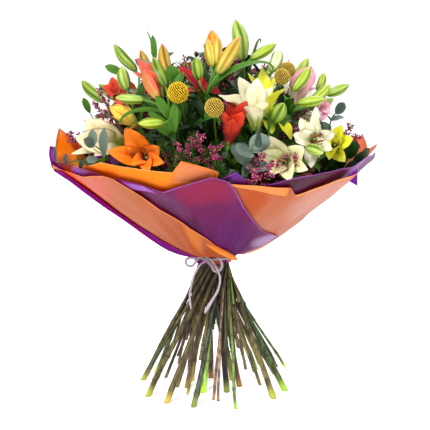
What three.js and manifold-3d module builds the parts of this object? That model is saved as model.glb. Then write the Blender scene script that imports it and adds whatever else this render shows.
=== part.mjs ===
// A hand-tied mixed bouquet, standing on its own cut stems: lilies in bud and in bloom, craspedia, heather,
// eucalyptus and needled greenery, tied at the neck inside a bowl of orange and purple film.
// Millimetres, +Z up. The origin is on the table under the neck, -Y is the side that faces the viewer.
import * as THREE from "three";
import { mergeVertices } from "three/addons/utils/BufferGeometryUtils.js";
import Module from "manifold-3d";

const wasm = await Module();
wasm.setup();
const { Manifold, Mesh: SolidMesh } = wasm;

// ---------------------------------------------------------------- driving dimensions

const NECK_Z = 206; // height above the table of the narrowest place, where the stems are tied
const SPIRAL_PER_MM = 0.0275; // sideways travel of a stem for each mm of height, per mm from the axis
const RING_RADII = [0, 7.2, 13.6, 19.8]; // the stems stand in rings where they are tied
const RING_LAGS = [0, 24, 34, 30]; // degrees that each ring turns between the neck and the heads
const FAN_CENTRE_Z = 285; // the heads point away from here
const GAP = 0.3; // clearance between two pieces that meet

const LILY_FOOT_R = 4.3;
const LILY_STEM_R = 2.7;
const LILY_TOP_R = 2.4;
const THIN_FOOT_R = 2.6;
const THIN_STEM_R = 1.6;
const THIN_TOP_R = 1.3;
const TALLEST_CUT = 110; // thin stems end at any height up to this
const PEDICEL_R = 1.5;

const PETAL_THICK = 1.6;
const LEAF_THICK = 1.4;
const ROUND_LEAF = { length: 36, width: 31 };
const SMALL_LEAF = { length: 24, width: 16 };
const GUM_LEAF = { length: 40, width: 12 };
const HEATHER = { twig: 1.2, floret: 6.4, forward: 3.5 };
const NEEDLES = { twig: 1.2, floret: 15, forward: 9 };
const WHORLS = 4;
const BARE_TWIG = 0.25; // a twig is bare for this share of its length

const FILM_THICK = 0.6;
const COLLAR_R = 24.4; // inside of the film where it is gathered round the stems
const COLLAR_DROP = 16; // how far the gathered film hangs below the bowl
const COLLAR_BEND = 2; // the gathered film starts to open this far below the bowl
const COLLAR_STEP = 0.6; // and an outer layer this much lower than the one inside it
const BOWL_Z = 213; // the flat floor of the bowl
const BOWL_BEND_R = 70; // the film leaves the neck almost flat and turns up at this radius
const BOWL_BEND = 12;
const SIDE_SLOPE = 0.74;
const FRONT_SLOPE = 0.88;
const FILM_WAVE = 4; // depth of the soft folds at the rim
const FILM_WAVES = 5;
const LAYER_ANGLE = 55; // degrees round the bowl over which a sheet moves out by one layer
const NECK_LAYER = 1.1; // distance between two layers at the neck and at the rim
const RIM_LAYER = 3.4;

const RAFFIA = { width: 5, thick: 1.2 };
const BAND_R = 30.8; // inside of the raffia band
const TAIL_R = 1.8;

// ---------------------------------------------------------------- vectors and seeded chance

const V = (x, y, z) => new THREE.Vector3(x, y, z);
const at = (p) => V(p[0], p[1], p[2]);
const rad = THREE.MathUtils.degToRad;
const mix = THREE.MathUtils.lerp;
const smooth = THREE.MathUtils.smoothstep;

// A number from 0 to 1 that depends only on its two seeds.
function chance(i, k) {
  const s = Math.sin(i * 12.9898 + k * 78.233) * 43758.5453;
  return s - Math.floor(s);
}

// Two directions at right angles to an axis and to each other.
function sides(axis) {
  const up = Math.abs(axis.z) > 0.9 ? V(0, 1, 0) : V(0, 0, 1);
  const s = up.cross(axis).normalize();
  return [s, axis.clone().cross(s)];
}

const bezier = (a, b, c, d) => new THREE.CubicBezierCurve3(a, b, c, d);

// ---------------------------------------------------------------- closed skins over rings of points

// Joins rings of points into a closed solid. A ring of one point is a tip. The second half of each ring is
// split along the mirrored diagonal, so that the two faces of a thin blade bend alike.
function skin(rings) {
  const points = [];
  const first = rings.map((ring) => {
    const start = points.length;
    points.push(...ring);
    return start;
  });
  const faces = [];
  const add = (a, b, c) => {
    if (a !== b && b !== c && c !== a) faces.push(a, b, c);
  };
  for (let j = 0; j + 1 < rings.length; j++) {
    const lower = rings[j].length;
    const upper = rings[j + 1].length;
    const n = Math.max(lower, upper);
    for (let k = 0; k < n; k++) {
      const next = (k + 1) % n;
      const a0 = first[j] + (lower === 1 ? 0 : k);
      const a1 = first[j] + (lower === 1 ? 0 : next);
      const b0 = first[j + 1] + (upper === 1 ? 0 : k);
      const b1 = first[j + 1] + (upper === 1 ? 0 : next);
      if (k < n / 2) {
        add(a0, a1, b1);
        add(a0, b1, b0);
      } else {
        add(a0, a1, b0);
        add(a1, b1, b0);
      }
    }
  }
  const last = rings.length - 1;
  for (let k = 1; k + 1 < rings[0].length; k++) faces.push(first[0], first[0] + k + 1, first[0] + k);
  const end = first[last];
  for (let k = 1; k + 1 < rings[last].length; k++) faces.push(end, end + k, end + k + 1);
  const geometry = new THREE.BufferGeometry().setFromPoints(points);
  geometry.setIndex(faces);
  return solid(geometry);
}

// A closed three.js geometry as a solid that can be joined and cut.
function solid(geometry) {
  const bare = geometry.clone();
  bare.deleteAttribute("normal");
  bare.deleteAttribute("uv");
  const merged = mergeVertices(bare, 1e-4);
  return new Manifold(
    new SolidMesh({
      numProp: 3,
      vertProperties: new Float32Array(merged.attributes.position.array),
      triVerts: new Uint32Array(merged.index.array),
    }),
  );
}

const join = (solids) => (solids.length > 1 ? Manifold.union(solids) : solids[0]);

// Unit directions along a list of points.
function directions(points) {
  return points.map((p, i) => {
    const before = points[Math.max(i - 1, 0)];
    const after = points[Math.min(i + 1, points.length - 1)];
    return after.clone().sub(before).normalize();
  });
}

// Side directions carried along a path without twisting.
function carried(path) {
  const along = directions(path);
  let side = sides(along[0])[0];
  return along.map((t) => {
    side = side.clone().addScaledVector(t, -side.dot(t)).normalize();
    return { t, s: side, n: t.clone().cross(side) };
  });
}

// One ring of a tube. spokes gives each point's distance from the path, and forward moves a point along it.
function ringAt(centre, frame, spokes, forward = []) {
  return spokes.map((r, k) => {
    const a = (2 * Math.PI * k) / spokes.length;
    return centre
      .clone()
      .addScaledVector(frame.s, r * Math.cos(a))
      .addScaledVector(frame.n, r * Math.sin(a))
      .addScaledVector(frame.t, forward[k] || 0);
  });
}

// A tube along a path. A radius of 0 closes it to a point.
function tube(path, radii, count) {
  const frames = carried(path);
  return path.map((p, i) => (radii[i] === 0 ? [p] : ringAt(p, frames[i], Array(count).fill(radii[i]))));
}

// A blade with a ridge down each face, pointed at both ends and cupped towards its upper face.
function blade(path, upper, widths, thick, cup) {
  const along = directions(path);
  return skin(
    path.map((p, i) => {
      if (widths[i] === 0) return [p];
      const s = upper[i].clone().cross(along[i]).normalize();
      const n = along[i].clone().cross(s);
      const half = widths[i] / 2;
      const lift = widths[i] * cup;
      return [
        p.clone().addScaledVector(s, half).addScaledVector(n, lift),
        p.clone().addScaledVector(n, thick / 2),
        p.clone().addScaledVector(s, -half).addScaledVector(n, lift),
        p.clone().addScaledVector(n, -thick / 2),
      ];
    }),
  );
}

// ---------------------------------------------------------------- the plants and where their heads are

// ring is the ring in which the stem is tied, and top is where it divides or carries its head.
// A bud is [base, tip, thickness]. A bloom has a base, the way it faces, a shape and the length of its
// petals. A leaf is [place along the upper stem from 0 to 1, tip, width].
const LILIES = [
  {
    name: "coral_lily", ring: 3, top: [-58, -144, 430],
    buds: [
      [[-62, -122, 482], [-72, -92, 530], 17],
      [[-66, -140, 472], [-84, -112, 512], 15],
      [[-76, -154, 456], [-97, -128, 496], 17],
      [[-96, -146, 454], [-136, -136, 457], 14],
      [[-68, -172, 425], [-102, -180, 425], 15],
    ],
    blooms: [
      { name: "coral", base: [-86, -118, 456], faces: [-0.3, 0.2, 0.93], shape: "goblet", length: 54 },
    ],
    leaves: [[0.97, [-128, -166, 422], 12], [0.9, [-120, -128, 448], 14], [0.94, [-40, -128, 486], 16]],
  },
  {
    name: "scarlet_lily", ring: 3, top: [-114, -78, 412],
    buds: [
      [[-110, -72, 490], [-144, -46, 527], 15],
      [[-122, -102, 464], [-130, -90, 498], 18],
      [[-156, -76, 446], [-192, -42, 474], 16],
    ],
    blooms: [
      { name: "scarlet", base: [-138, -88, 444], faces: [-0.5, 0.15, 0.85], shape: "goblet", length: 46 },
    ],
    leaves: [[0.96, [-172, -62, 414], 13], [0.9, [-96, -40, 470], 14], [0.84, [-146, -30, 428], 13]],
  },
  {
    name: "apricot_lily", ring: 1, top: [-9, -122, 456],
    buds: [
      [[-19, -142, 482], [-23, -132, 513], 17],
      [[1, -114, 500], [-1, -88, 549], 28],
      [[7, -132, 490], [39, -94, 540], 19],
    ],
    blooms: [],
    leaves: [[0.98, [86, -106, 492], 15], [0.92, [-40, -152, 466], 10]],
  },
  {
    name: "green_lily", ring: 1, top: [44, -60, 452],
    buds: [
      [[43, -50, 503], [33, -36, 563], 23],
      [[54, -84, 508], [91, -66, 529], 15],
      [[84, -84, 490], [96, -62, 522], 18],
    ],
    blooms: [],
    leaves: [[0.97, [68, -78, 530], 9], [0.9, [84, -40, 486], 13]],
  },
  {
    name: "yellow_lily", ring: 1, top: [62, -96, 420],
    buds: [],
    blooms: [{ name: "yellow", base: [66, -111, 438], faces: [0.18, -0.5, 0.83], shape: "star", length: 42 }],
    leaves: [[0.86, [34, -114, 408], 12]],
  },
  {
    name: "pink_lily", ring: 3, top: [108, -96, 430],
    buds: [
      [[114, -106, 464], [139, -86, 497], 16],
      [[152, -58, 460], [162, -47, 486], 12],
      [[138, -96, 446], [169, -74, 471], 15],
      [[166, -44, 454], [200, -38, 468], 15],
      [[119, -124, 448], [158, -126, 454], 15],
    ],
    blooms: [
      { name: "pink", base: [128, -49, 438], faces: [0.02, 0.2, 0.97], shape: "funnel", length: 55 },
      { name: "pink_side", base: [152, -72, 434], faces: [0.92, -0.2, 0.1], shape: "trumpet", length: 40 },
    ],
    leaves: [[0.95, [100, -142, 452], 15]],
  },
  {
    name: "white_lily_centre", ring: 1, top: [74, -146, 386],
    buds: [[[82, -164, 426], [98, -172, 452], 20]],
    blooms: [
      { name: "white", base: [63, -165, 416], faces: [-0.12, -0.2, 0.97], shape: "funnel", length: 74 },
    ],
    leaves: [[0.95, [74, -180, 432], 10]],
  },
  {
    name: "white_lily_right", ring: 3, top: [98, -118, 356],
    buds: [[[129, -168, 391], [152, -181, 384], 16]],
    blooms: [
      {
        name: "white_open", base: [124, -116, 396], faces: [0.5, -0.84, 0.2],
        shape: "star", length: 56, stamens: 6,
      },
      { name: "cream", base: [99, -150, 368], faces: [-0.12, -0.9, 0.42], shape: "trumpet", length: 45 },
    ],
    leaves: [[0.92, [150, -140, 352], 14]],
  },
  {
    name: "orange_lily", ring: 3, top: [-70, -122, 350],
    buds: [],
    blooms: [
      {
        name: "orange", base: [-88, -148, 378], faces: [0.1, -0.97, -0.05],
        shape: "star", length: 58, stamens: 6,
      },
    ],
    leaves: [[0.9, [-118, -148, 350], 13], [0.86, [-62, -156, 332], 11]],
  },
  {
    name: "yellow_lily_right", ring: 3, top: [140, -66, 352],
    buds: [],
    blooms: [
      { name: "yellow_right", base: [166, -78, 382], faces: [0.62, -0.76, 0.2], shape: "star", length: 44 },
    ],
    leaves: [[0.9, [142, -128, 350], 12], [0.9, [186, -40, 372], 13]],
  },
  {
    name: "red_lily", ring: 1, top: [22, -134, 358],
    buds: [],
    blooms: [{ name: "red", base: [23, -170, 394], faces: [0.12, -0.1, 0.98], shape: "goblet", length: 58 }],
    leaves: [[0.94, [4, -180, 372], 12]],
  },
  {
    name: "white_lily_left", ring: 3, top: [-112, -98, 360],
    buds: [],
    blooms: [
      { name: "white_left", base: [-130, -88, 388], faces: [-0.97, 0.05, 0.2], shape: "funnel", length: 58 },
      {
        name: "yellow_left", base: [-102, -140, 418], faces: [-0.75, -0.1, 0.5],
        shape: "goblet", length: 50,
      },
    ],
    leaves: [[0.94, [-160, -130, 362], 14]],
  },
  {
    name: "crimson_lily", ring: 1, top: [-34, -86, 404],
    buds: [],
    blooms: [
      { name: "crimson", base: [-30, -98, 438], faces: [-0.1, -0.2, 0.97], shape: "funnel", length: 46 },
    ],
    leaves: [[0.94, [-58, -74, 470], 14], [0.84, [-62, -92, 400], 12]],
  },
  {
    name: "pink_lily_back", ring: 1, top: [34, 64, 430],
    buds: [
      [[30, 66, 500], [42, 84, 542], 15],
      [[76, 96, 468], [104, 116, 500], 15],
    ],
    blooms: [{ name: "rose", base: [36, 112, 452], faces: [0.15, 0.6, 0.78], shape: "trumpet", length: 62 }],
    leaves: [[0.95, [0, 80, 480], 14], [0.9, [80, 60, 470], 14]],
  },
  {
    name: "orange_lily_back", ring: 3, top: [-88, 66, 400],
    buds: [
      [[-92, 62, 472], [-112, 74, 514], 16],
      [[-140, 44, 438], [-176, 60, 462], 15],
    ],
    blooms: [
      { name: "tangerine", base: [-112, 104, 420], faces: [-0.5, 0.72, 0.45], shape: "star", length: 58 },
    ],
    leaves: [[0.94, [-150, 84, 404], 14], [0.9, [-60, 110, 430], 14]],
  },
  {
    name: "white_lily_back", ring: 3, top: [104, 62, 396],
    buds: [
      [[120, 30, 466], [144, 26, 504], 16],
      [[150, 50, 424], [186, 62, 440], 15],
    ],
    blooms: [
      { name: "white_back", base: [122, 98, 412], faces: [0.5, 0.72, 0.45], shape: "trumpet", length: 60 },
    ],
    leaves: [[0.94, [160, 90, 400], 14], [0.9, [86, 112, 400], 14]],
  },
];

const CRASPEDIA = [
  { name: "craspedia_1", ring: 2, top: [-48, -164, 466], radius: 15 },
  { name: "craspedia_2", ring: 2, top: [2, -184, 447], radius: 13.5 },
  { name: "craspedia_3", ring: 2, top: [98, -105, 484], radius: 12 },
  { name: "craspedia_4", ring: 2, top: [107, -77, 492], radius: 12 },
  { name: "craspedia_5", ring: 0, top: [-40, 100, 480], radius: 14.5 },
];

// tips are where the flowering or needled twigs of a spray end.
const SPRAYS = [
  { name: "heather_left_top", kind: HEATHER, ring: 3, top: [-124, -118, 404],
    tips: [[-164, -128, 468], [-166, -148, 426]] },
  { name: "heather_left", kind: HEATHER, ring: 3, top: [-152, -46, 366],
    tips: [[-216, -26, 396], [-214, -58, 398]] },
  { name: "heather_top", kind: HEATHER, ring: 2, top: [0, -68, 430],
    tips: [[-42, -72, 514], [28, -96, 508]] },
  { name: "heather_centre", kind: HEATHER, ring: 2, top: [-14, -130, 358],
    tips: [[-46, -200, 400], [-20, -206, 416], [4, -210, 396]] },
  { name: "heather_front", kind: HEATHER, ring: 2, top: [60, -142, 324],
    tips: [[82, -212, 374], [58, -220, 366]] },
  { name: "heather_right", kind: HEATHER, ring: 3, top: [156, -26, 366],
    tips: [[206, -44, 410], [222, -30, 394]] },
  { name: "heather_back", kind: HEATHER, ring: 2, top: [-30, 112, 398],
    tips: [[-64, 158, 446], [-14, 168, 446], [-34, 176, 410]] },
  { name: "needled_greens", kind: NEEDLES, ring: 2, top: [-30, -132, 332],
    tips: [[-56, -186, 358], [-26, -204, 374], [8, -204, 370]] },
];

const EUCALYPTUS = [
  { name: "eucalyptus_left", ring: 3, top: [-126, -124, 352], tip: [-166, -168, 394], leaf: SMALL_LEAF },
  { name: "eucalyptus_centre", ring: 3, top: [38, -138, 332], tip: [57, -202, 400], leaf: ROUND_LEAF },
  { name: "eucalyptus_right", ring: 3, top: [164, 12, 360], tip: [186, -2, 424], leaf: SMALL_LEAF },
  { name: "gum_top", ring: 3, top: [-96, -6, 430], tip: [-90, -46, 516], leaf: GUM_LEAF },
];

// ---------------------------------------------------------------- the spiral of stems

// Puts the plants of each ring round the neck in the order of their heads, so that no two stems cross.
function tiedPlaces(plants) {
  const places = new Map();
  RING_RADII.forEach((radius, ring) => {
    const heads = plants
      .filter((plant) => plant.ring === ring)
      .map((plant) => ({ plant, angle: Math.atan2(plant.top[1], plant.top[0]) }))
      .sort((a, b) => a.angle - b.angle);
    const step = (2 * Math.PI) / heads.length;
    const lean = heads.reduce(
      (sum, { angle }, i) => sum.add(V(Math.cos(angle - i * step), Math.sin(angle - i * step), 0)),
      V(0, 0, 0),
    );
    const start = Math.atan2(lean.y, lean.x) - rad(RING_LAGS[ring]);
    heads.forEach(({ plant }, i) => {
      const a = start + i * step;
      places.set(plant.name, V(radius * Math.cos(a), radius * Math.sin(a), NECK_Z));
    });
  });
  return places;
}

// Where a tied stem is at a height below the neck: it runs straight, and leans round the axis.
function below(place, z) {
  const turn = SPIRAL_PER_MM * (z - NECK_Z);
  return V(place.x - place.y * turn, place.y + place.x * turn, z);
}

// A stem's centreline from its cut foot through the neck to its top, and the way it points there.
function stemPath(plant, place, footZ) {
  const foot = below(place, footZ);
  const rise = place.clone().sub(foot).normalize();
  const top = at(plant.top);
  const lean = top.clone().sub(V(0, 0, FAN_CENTRE_Z)).normalize();
  const far = top.distanceTo(place);
  const upper = bezier(
    place,
    place.clone().addScaledVector(rise, 0.3 * far),
    top.clone().addScaledVector(lean, -0.35 * far),
    top,
  );
  return { points: [foot, ...upper.getPoints(4)], lean, upper };
}

// Slides the points of a ring along a direction until they lie in the plane through a point.
function cutRing(ring, along, point, normal) {
  const slide = (p) => point.clone().sub(p).dot(normal) / along.dot(normal);
  return ring.map((p) => p.clone().addScaledVector(along, slide(p)));
}

// The stem itself, cut level at its foot.
function stem(path, footR, neckR, topR, count) {
  const { points } = path;
  const last = points.length - 1;
  const radii = points.map((_, i) => (i === 0 ? footR : mix(neckR, topR, (i - 1) / (last - 1))));
  const rings = tube(points, radii, count);
  rings[0] = cutRing(rings[0], points[1].clone().sub(points[0]), points[0], V(0, 0, 1));
  return skin(rings);
}

// ---------------------------------------------------------------- buds, blooms and leaves

// The stalk between a stem's top and the base of a bud or bloom. It starts inside the stem.
function stalkPath(path, base, faces) {
  const top = path.points[path.points.length - 1];
  const from = top.clone().addScaledVector(path.lean, -4);
  from.addScaledVector(base.clone().sub(from).normalize(), 1.2);
  const far = from.distanceTo(base);
  return bezier(
    from,
    from.clone().addScaledVector(path.lean, 0.4 * far),
    base.clone().addScaledVector(faces, -0.35 * far),
    base,
  ).getPoints(2);
}

// A closed bud on its stalk. Its outer petals stand out as three ridges.
const BUD_PROFILE = [[0.2, 0.84], [0.52, 1], [0.84, 0.6]];
const BUD_RIDGES = [1, 0.84, 1, 0.84, 1, 0.84];

function bud(path, [base, tip, thick]) {
  const from = at(base);
  const along = at(tip).sub(from);
  const stalk = stalkPath(path, from, along.clone().normalize());
  const line = [...stalk, ...BUD_PROFILE.map(([u]) => from.clone().addScaledVector(along, u)), at(tip)];
  const frames = carried(line);
  return skin(
    line.map((p, i) => {
      if (i === line.length - 1) return [p];
      if (i < stalk.length) return ringAt(p, frames[i], Array(6).fill(PEDICEL_R));
      const r = (thick / 2) * BUD_PROFILE[i - stalk.length][1];
      return ringAt(p, frames[i], BUD_RIDGES.map((ridge) => ridge * r));
    }),
  );
}

// The bare stalk of a bloom, cut square just short of it.
function bloomStalk(path, base, faces) {
  const end = base.clone().addScaledVector(faces, -GAP);
  const points = stalkPath(path, end, faces);
  const rings = tube(points, [PEDICEL_R, PEDICEL_R, PEDICEL_R], 5);
  rings[2] = cutRing(rings[2], points[2].clone().sub(points[1]), end, faces);
  return skin(rings);
}

// How each kind of bloom opens: the angles from its axis at which a petal starts and ends, in degrees, how
// late it bends, and its width as a share of its length.
const SHAPES = {
  goblet: { start: 34, end: -6, bend: 0.8, width: 0.34 },
  funnel: { start: 30, end: 46, bend: 1.2, width: 0.34 },
  trumpet: { start: 36, end: 92, bend: 1.5, width: 0.38 },
  star: { start: 50, end: 104, bend: 1.2, width: 0.42 },
};
const PETAL_STATIONS = [0, 0.3, 0.57, 0.82, 1];
const PETAL_WIDTHS = [0, 0.5, 1, 0.72, 0];
const PETAL_STEPS = 25;
const PETAL_CUP = 0.12;
const OUTER_WIDTH = 0.76; // an outer petal's width as a share of an inner one's
const HUB_R = 3.4;
const HUB_LENGTH = 7;
const ROOT = 1.5; // petals start this far up the hub

// A point of the line down the middle of a petal, as distances out from and along the bloom's axis.
function petalPoint(shape, length, share) {
  const step = (length * share) / PETAL_STEPS;
  let out = 0;
  let along = ROOT;
  let angle = rad(shape.start);
  for (let i = 0; i < PETAL_STEPS; i++) {
    const s = ((i + 0.5) / PETAL_STEPS) * share;
    angle = rad(mix(shape.start, shape.end, s ** shape.bend));
    out += Math.sin(angle) * step;
    along += Math.cos(angle) * step;
  }
  return { out, along, angle };
}

// Six petals on a hub: three narrower outer ones and three inner ones, which a goblet keeps closed as a bud.
function bloom({ base, faces, shape: kind, length, stamens = 0 }) {
  const shape = SHAPES[kind];
  const axis = at(faces).normalize();
  const [s, n] = sides(axis);
  const foot = at(base);
  const place = (out, along, a) =>
    foot
      .clone()
      .addScaledVector(axis, along)
      .addScaledVector(s, out * Math.cos(a))
      .addScaledVector(n, out * Math.sin(a));
  const closed = kind === "goblet";
  const hub = closed
    ? [[0, 0.042], [0.35, 0.15], [0.74, 0.11], [1, 0]].map(([u, r]) => [length * 0.94 * u, length * r])
    : [[0, HUB_R * 0.6], [HUB_LENGTH * 0.5, HUB_R], [HUB_LENGTH, 0]];
  const frame = { t: axis, s, n };
  const ridge = closed ? BUD_RIDGES : Array(6).fill(1);
  const hubRing = ([u, r]) => {
    const at = place(0, u, 0);
    return r === 0 ? [at] : ringAt(at, frame, ridge.map((k) => k * r));
  };
  const parts = [skin(hub.map(hubRing))];
  for (let i = 0; i < 6; i++) {
    const inner = i % 2 === 0;
    if (closed && inner) continue;
    const a = (Math.PI / 3) * i;
    const width = length * shape.width * (inner || closed ? 1 : OUTER_WIDTH);
    const lines = PETAL_STATIONS.map((u) => petalPoint(shape, length * (inner ? 0.95 : 1), u));
    const upper = lines.map((l) =>
      axis
        .clone()
        .multiplyScalar(Math.sin(l.angle))
        .addScaledVector(s, -Math.cos(l.angle) * Math.cos(a))
        .addScaledVector(n, -Math.cos(l.angle) * Math.sin(a)),
    );
    const path = lines.map((l) => place(l.out, l.along, a));
    parts.push(blade(path, upper, PETAL_WIDTHS.map((w) => w * width), PETAL_THICK, PETAL_CUP));
  }
  for (let i = 0; i < stamens; i++) {
    const a = ((2 * Math.PI) / stamens) * (i + 0.5);
    const path = [place(0, 3, a), place(5, length * 0.34, a), place(10, length * 0.5, a)];
    parts.push(skin(tube(path, [0, 0.8, 1.5], 3)));
  }
  return join(parts);
}

// A strap leaf from inside the stem to its tip, rising first and then arching over.
const LEAF_STATIONS = [0, 0.35, 0.7, 1];
const LEAF_WIDTHS = [0, 1, 0.78, 0];
const LEAF_CUP = 0.1;

function strapLeaf(path, [u, tipAt, width]) {
  const root = path.upper.getPoint(u);
  const along = path.upper.getTangent(u);
  const tip = at(tipAt);
  const far = root.distanceTo(tip);
  const line = bezier(
    root,
    root.clone().addScaledVector(along, 0.45 * far),
    tip.clone().add(V(0, 0, 0.3 * far)),
    tip,
  );
  const outward = tip.clone().sub(root).normalize();
  const upper = along.clone().addScaledVector(outward, -0.7).add(V(0, 0, 0.4));
  return blade(
    LEAF_STATIONS.map((t) => line.getPoint(t)),
    LEAF_STATIONS.map(() => upper),
    LEAF_WIDTHS.map((w) => w * width),
    LEAF_THICK,
    LEAF_CUP,
  );
}

const ROUND_STATIONS = [0, 0.26, 0.6, 0.88, 1];
const ROUND_WIDTHS = [0, 0.78, 1, 0.62, 0];

// A leaf of a eucalyptus branch.
function branchLeaf(root, outward, face, { length, width }, size) {
  return blade(
    ROUND_STATIONS.map((u) => root.clone().addScaledVector(outward, length * size * u)),
    ROUND_STATIONS.map(() => face),
    ROUND_WIDTHS.map((w) => w * width * size),
    LEAF_THICK,
    LEAF_CUP / 2,
  );
}

// A twig with whorls of three florets or needles, each raised from the twig's own skin.
function whorledTwig(from, lean, tip, kind) {
  const far = from.distanceTo(tip);
  const line = bezier(
    from.clone().addScaledVector(lean, -3),
    from.clone().addScaledVector(lean, 0.35 * far),
    tip.clone().addScaledVector(lean, -0.3 * far).add(V(0, 0, -0.12 * far)),
    tip,
  );
  const steps = 2 * WHORLS;
  const shares = Array.from({ length: steps }, (_, i) => mix(BARE_TWIG, 1, i / (steps - 1)));
  const path = [0, ...shares].map((u) => line.getPoint(u));
  const frames = carried(path);
  return skin(
    path.map((p, i) => {
      if (i === path.length - 1) return [p];
      if (i % 2 === 1 || i === 0) return ringAt(p, frames[i], Array(6).fill(kind.twig));
      const turn = (i / 2) % 2;
      const shrink = mix(1.1, 0.75, i / path.length);
      const out = [0, 1, 2, 3, 4, 5].map((k) => (k + turn) % 2 === 0);
      return ringAt(
        p,
        frames[i],
        out.map((isOut) => (isOut ? kind.floret * shrink : kind.twig)),
        out.map((isOut) => (isOut ? kind.forward : 0)),
      );
    }),
  );
}

// A ball of florets, raised as relief from a sphere.
function craspediaHead(centre, radius) {
  const ball = new THREE.IcosahedronGeometry(radius, 2);
  ball.deleteAttribute("normal");
  ball.deleteAttribute("uv");
  const geometry = mergeVertices(ball, 1e-3);
  const position = geometry.attributes.position;
  for (let i = 0; i < position.count; i++) {
    const p = V(position.getX(i), position.getY(i), position.getZ(i));
    p.multiplyScalar(i % 2 === 0 ? 1.03 : 0.95).add(centre);
    position.setXYZ(i, p.x, p.y, p.z);
  }
  return solid(geometry);
}

// ---------------------------------------------------------------- growing the plants

const COLOURS = {
  lily_green: 0x6f9a2c,
  craspedia: 0xd9a91c,
  heather: 0xb83a7a,
  needles: 0x3d5226,
  eucalyptus: 0x7d9486,
  coral: 0xe8543a,
  scarlet: 0xe04a35,
  yellow: 0xf0d532,
  pink: 0xe79ab4,
  pink_side: 0xe79ab4,
  white: 0xf1ecd8,
  white_open: 0xf1ecd8,
  cream: 0xe9e2b4,
  orange: 0xf57c14,
  yellow_right: 0xeed335,
  red: 0xd23a22,
  white_left: 0xe9e2c4,
  yellow_left: 0xe4c23c,
  crimson: 0xa81c22,
  rose: 0xe58fae,
  tangerine: 0xf5861e,
  white_back: 0xf1ecd8,
  film_orange: 0xe8884a,
  film_purple: 0x7d2f86,
  raffia: 0xd8c8d4,
};

const grown = new Map();
const looks = new Map();

function grow(name, shape, colour, roughness) {
  grown.set(name, shape);
  looks.set(name, new THREE.MeshStandardMaterial({ color: COLOURS[colour], roughness, metalness: 0 }));
}

const plants = [...LILIES, ...CRASPEDIA, ...SPRAYS, ...EUCALYPTUS];
const places = tiedPlaces(plants);
const paths = new Map(
  plants.map((plant, i) => {
    const footZ = LILIES.includes(plant) ? 0 : Math.round(TALLEST_CUT * chance(i, 1) ** 1.5);
    return [plant.name, stemPath(plant, places.get(plant.name), footZ)];
  }),
);

for (const plant of LILIES) {
  const path = paths.get(plant.name);
  const parts = [stem(path, LILY_FOOT_R, LILY_STEM_R, LILY_TOP_R, 5)];
  for (const one of plant.buds) parts.push(bud(path, one));
  for (const one of plant.blooms) {
    parts.push(bloomStalk(path, at(one.base), at(one.faces).normalize()));
    grow("bloom_" + one.name, bloom(one), one.name, 0.5);
  }
  for (const one of plant.leaves) parts.push(strapLeaf(path, one));
  grow(plant.name, join(parts), "lily_green", 0.5);
}

const thinStem = (plant) => stem(paths.get(plant.name), THIN_FOOT_R, THIN_STEM_R, THIN_TOP_R, 4);

for (const plant of CRASPEDIA) {
  grow(plant.name, join([thinStem(plant), craspediaHead(at(plant.top), plant.radius)]), "craspedia", 0.8);
}

for (const plant of SPRAYS) {
  const { lean } = paths.get(plant.name);
  const twigs = plant.tips.map((tip) => whorledTwig(at(plant.top), lean, at(tip), plant.kind));
  grow(plant.name, join([thinStem(plant), ...twigs]), plant.kind === HEATHER ? "heather" : "needles", 0.8);
}

// Eucalyptus leaves stand in pairs, each pair across the last, with one more at the tip.
const LEAF_PAIRS = 3;

for (const plant of EUCALYPTUS) {
  const { lean } = paths.get(plant.name);
  const top = at(plant.top);
  const tip = at(plant.tip);
  const far = top.distanceTo(tip);
  const points = bezier(
    top.clone().addScaledVector(lean, -4),
    top.clone().addScaledVector(lean, 0.3 * far),
    tip.clone().addScaledVector(lean, -0.3 * far),
    tip,
  ).getPoints(LEAF_PAIRS + 1);
  const along = directions(points);
  const parts = [thinStem(plant), skin(tube(points, points.map(() => THIN_TOP_R), 4))];
  for (let pair = 0; pair <= LEAF_PAIRS; pair++) {
    const direction = along[pair + 1] || along[pair];
    const [s, n] = sides(direction);
    for (const turn of pair < LEAF_PAIRS ? [0, Math.PI] : []) {
      const a = pair * (Math.PI / 2) + turn + 0.5;
      const outward = s.clone().multiplyScalar(Math.cos(a)).addScaledVector(n, Math.sin(a));
      const reach = outward.clone().addScaledVector(direction, 0.5).normalize();
      const face = direction.clone().addScaledVector(outward, -0.5);
      parts.push(branchLeaf(points[pair + 1], reach, face, plant.leaf, mix(1.1, 0.8, pair / LEAF_PAIRS)));
    }
  }
  const end = along[LEAF_PAIRS + 1];
  const last = points[LEAF_PAIRS + 1].clone().addScaledVector(end, -3);
  parts.push(branchLeaf(last, end, sides(end)[0], plant.leaf, 0.9));
  grow(plant.name, join(parts), "eucalyptus", 0.7);
}

// ---------------------------------------------------------------- the film round the bouquet

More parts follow.
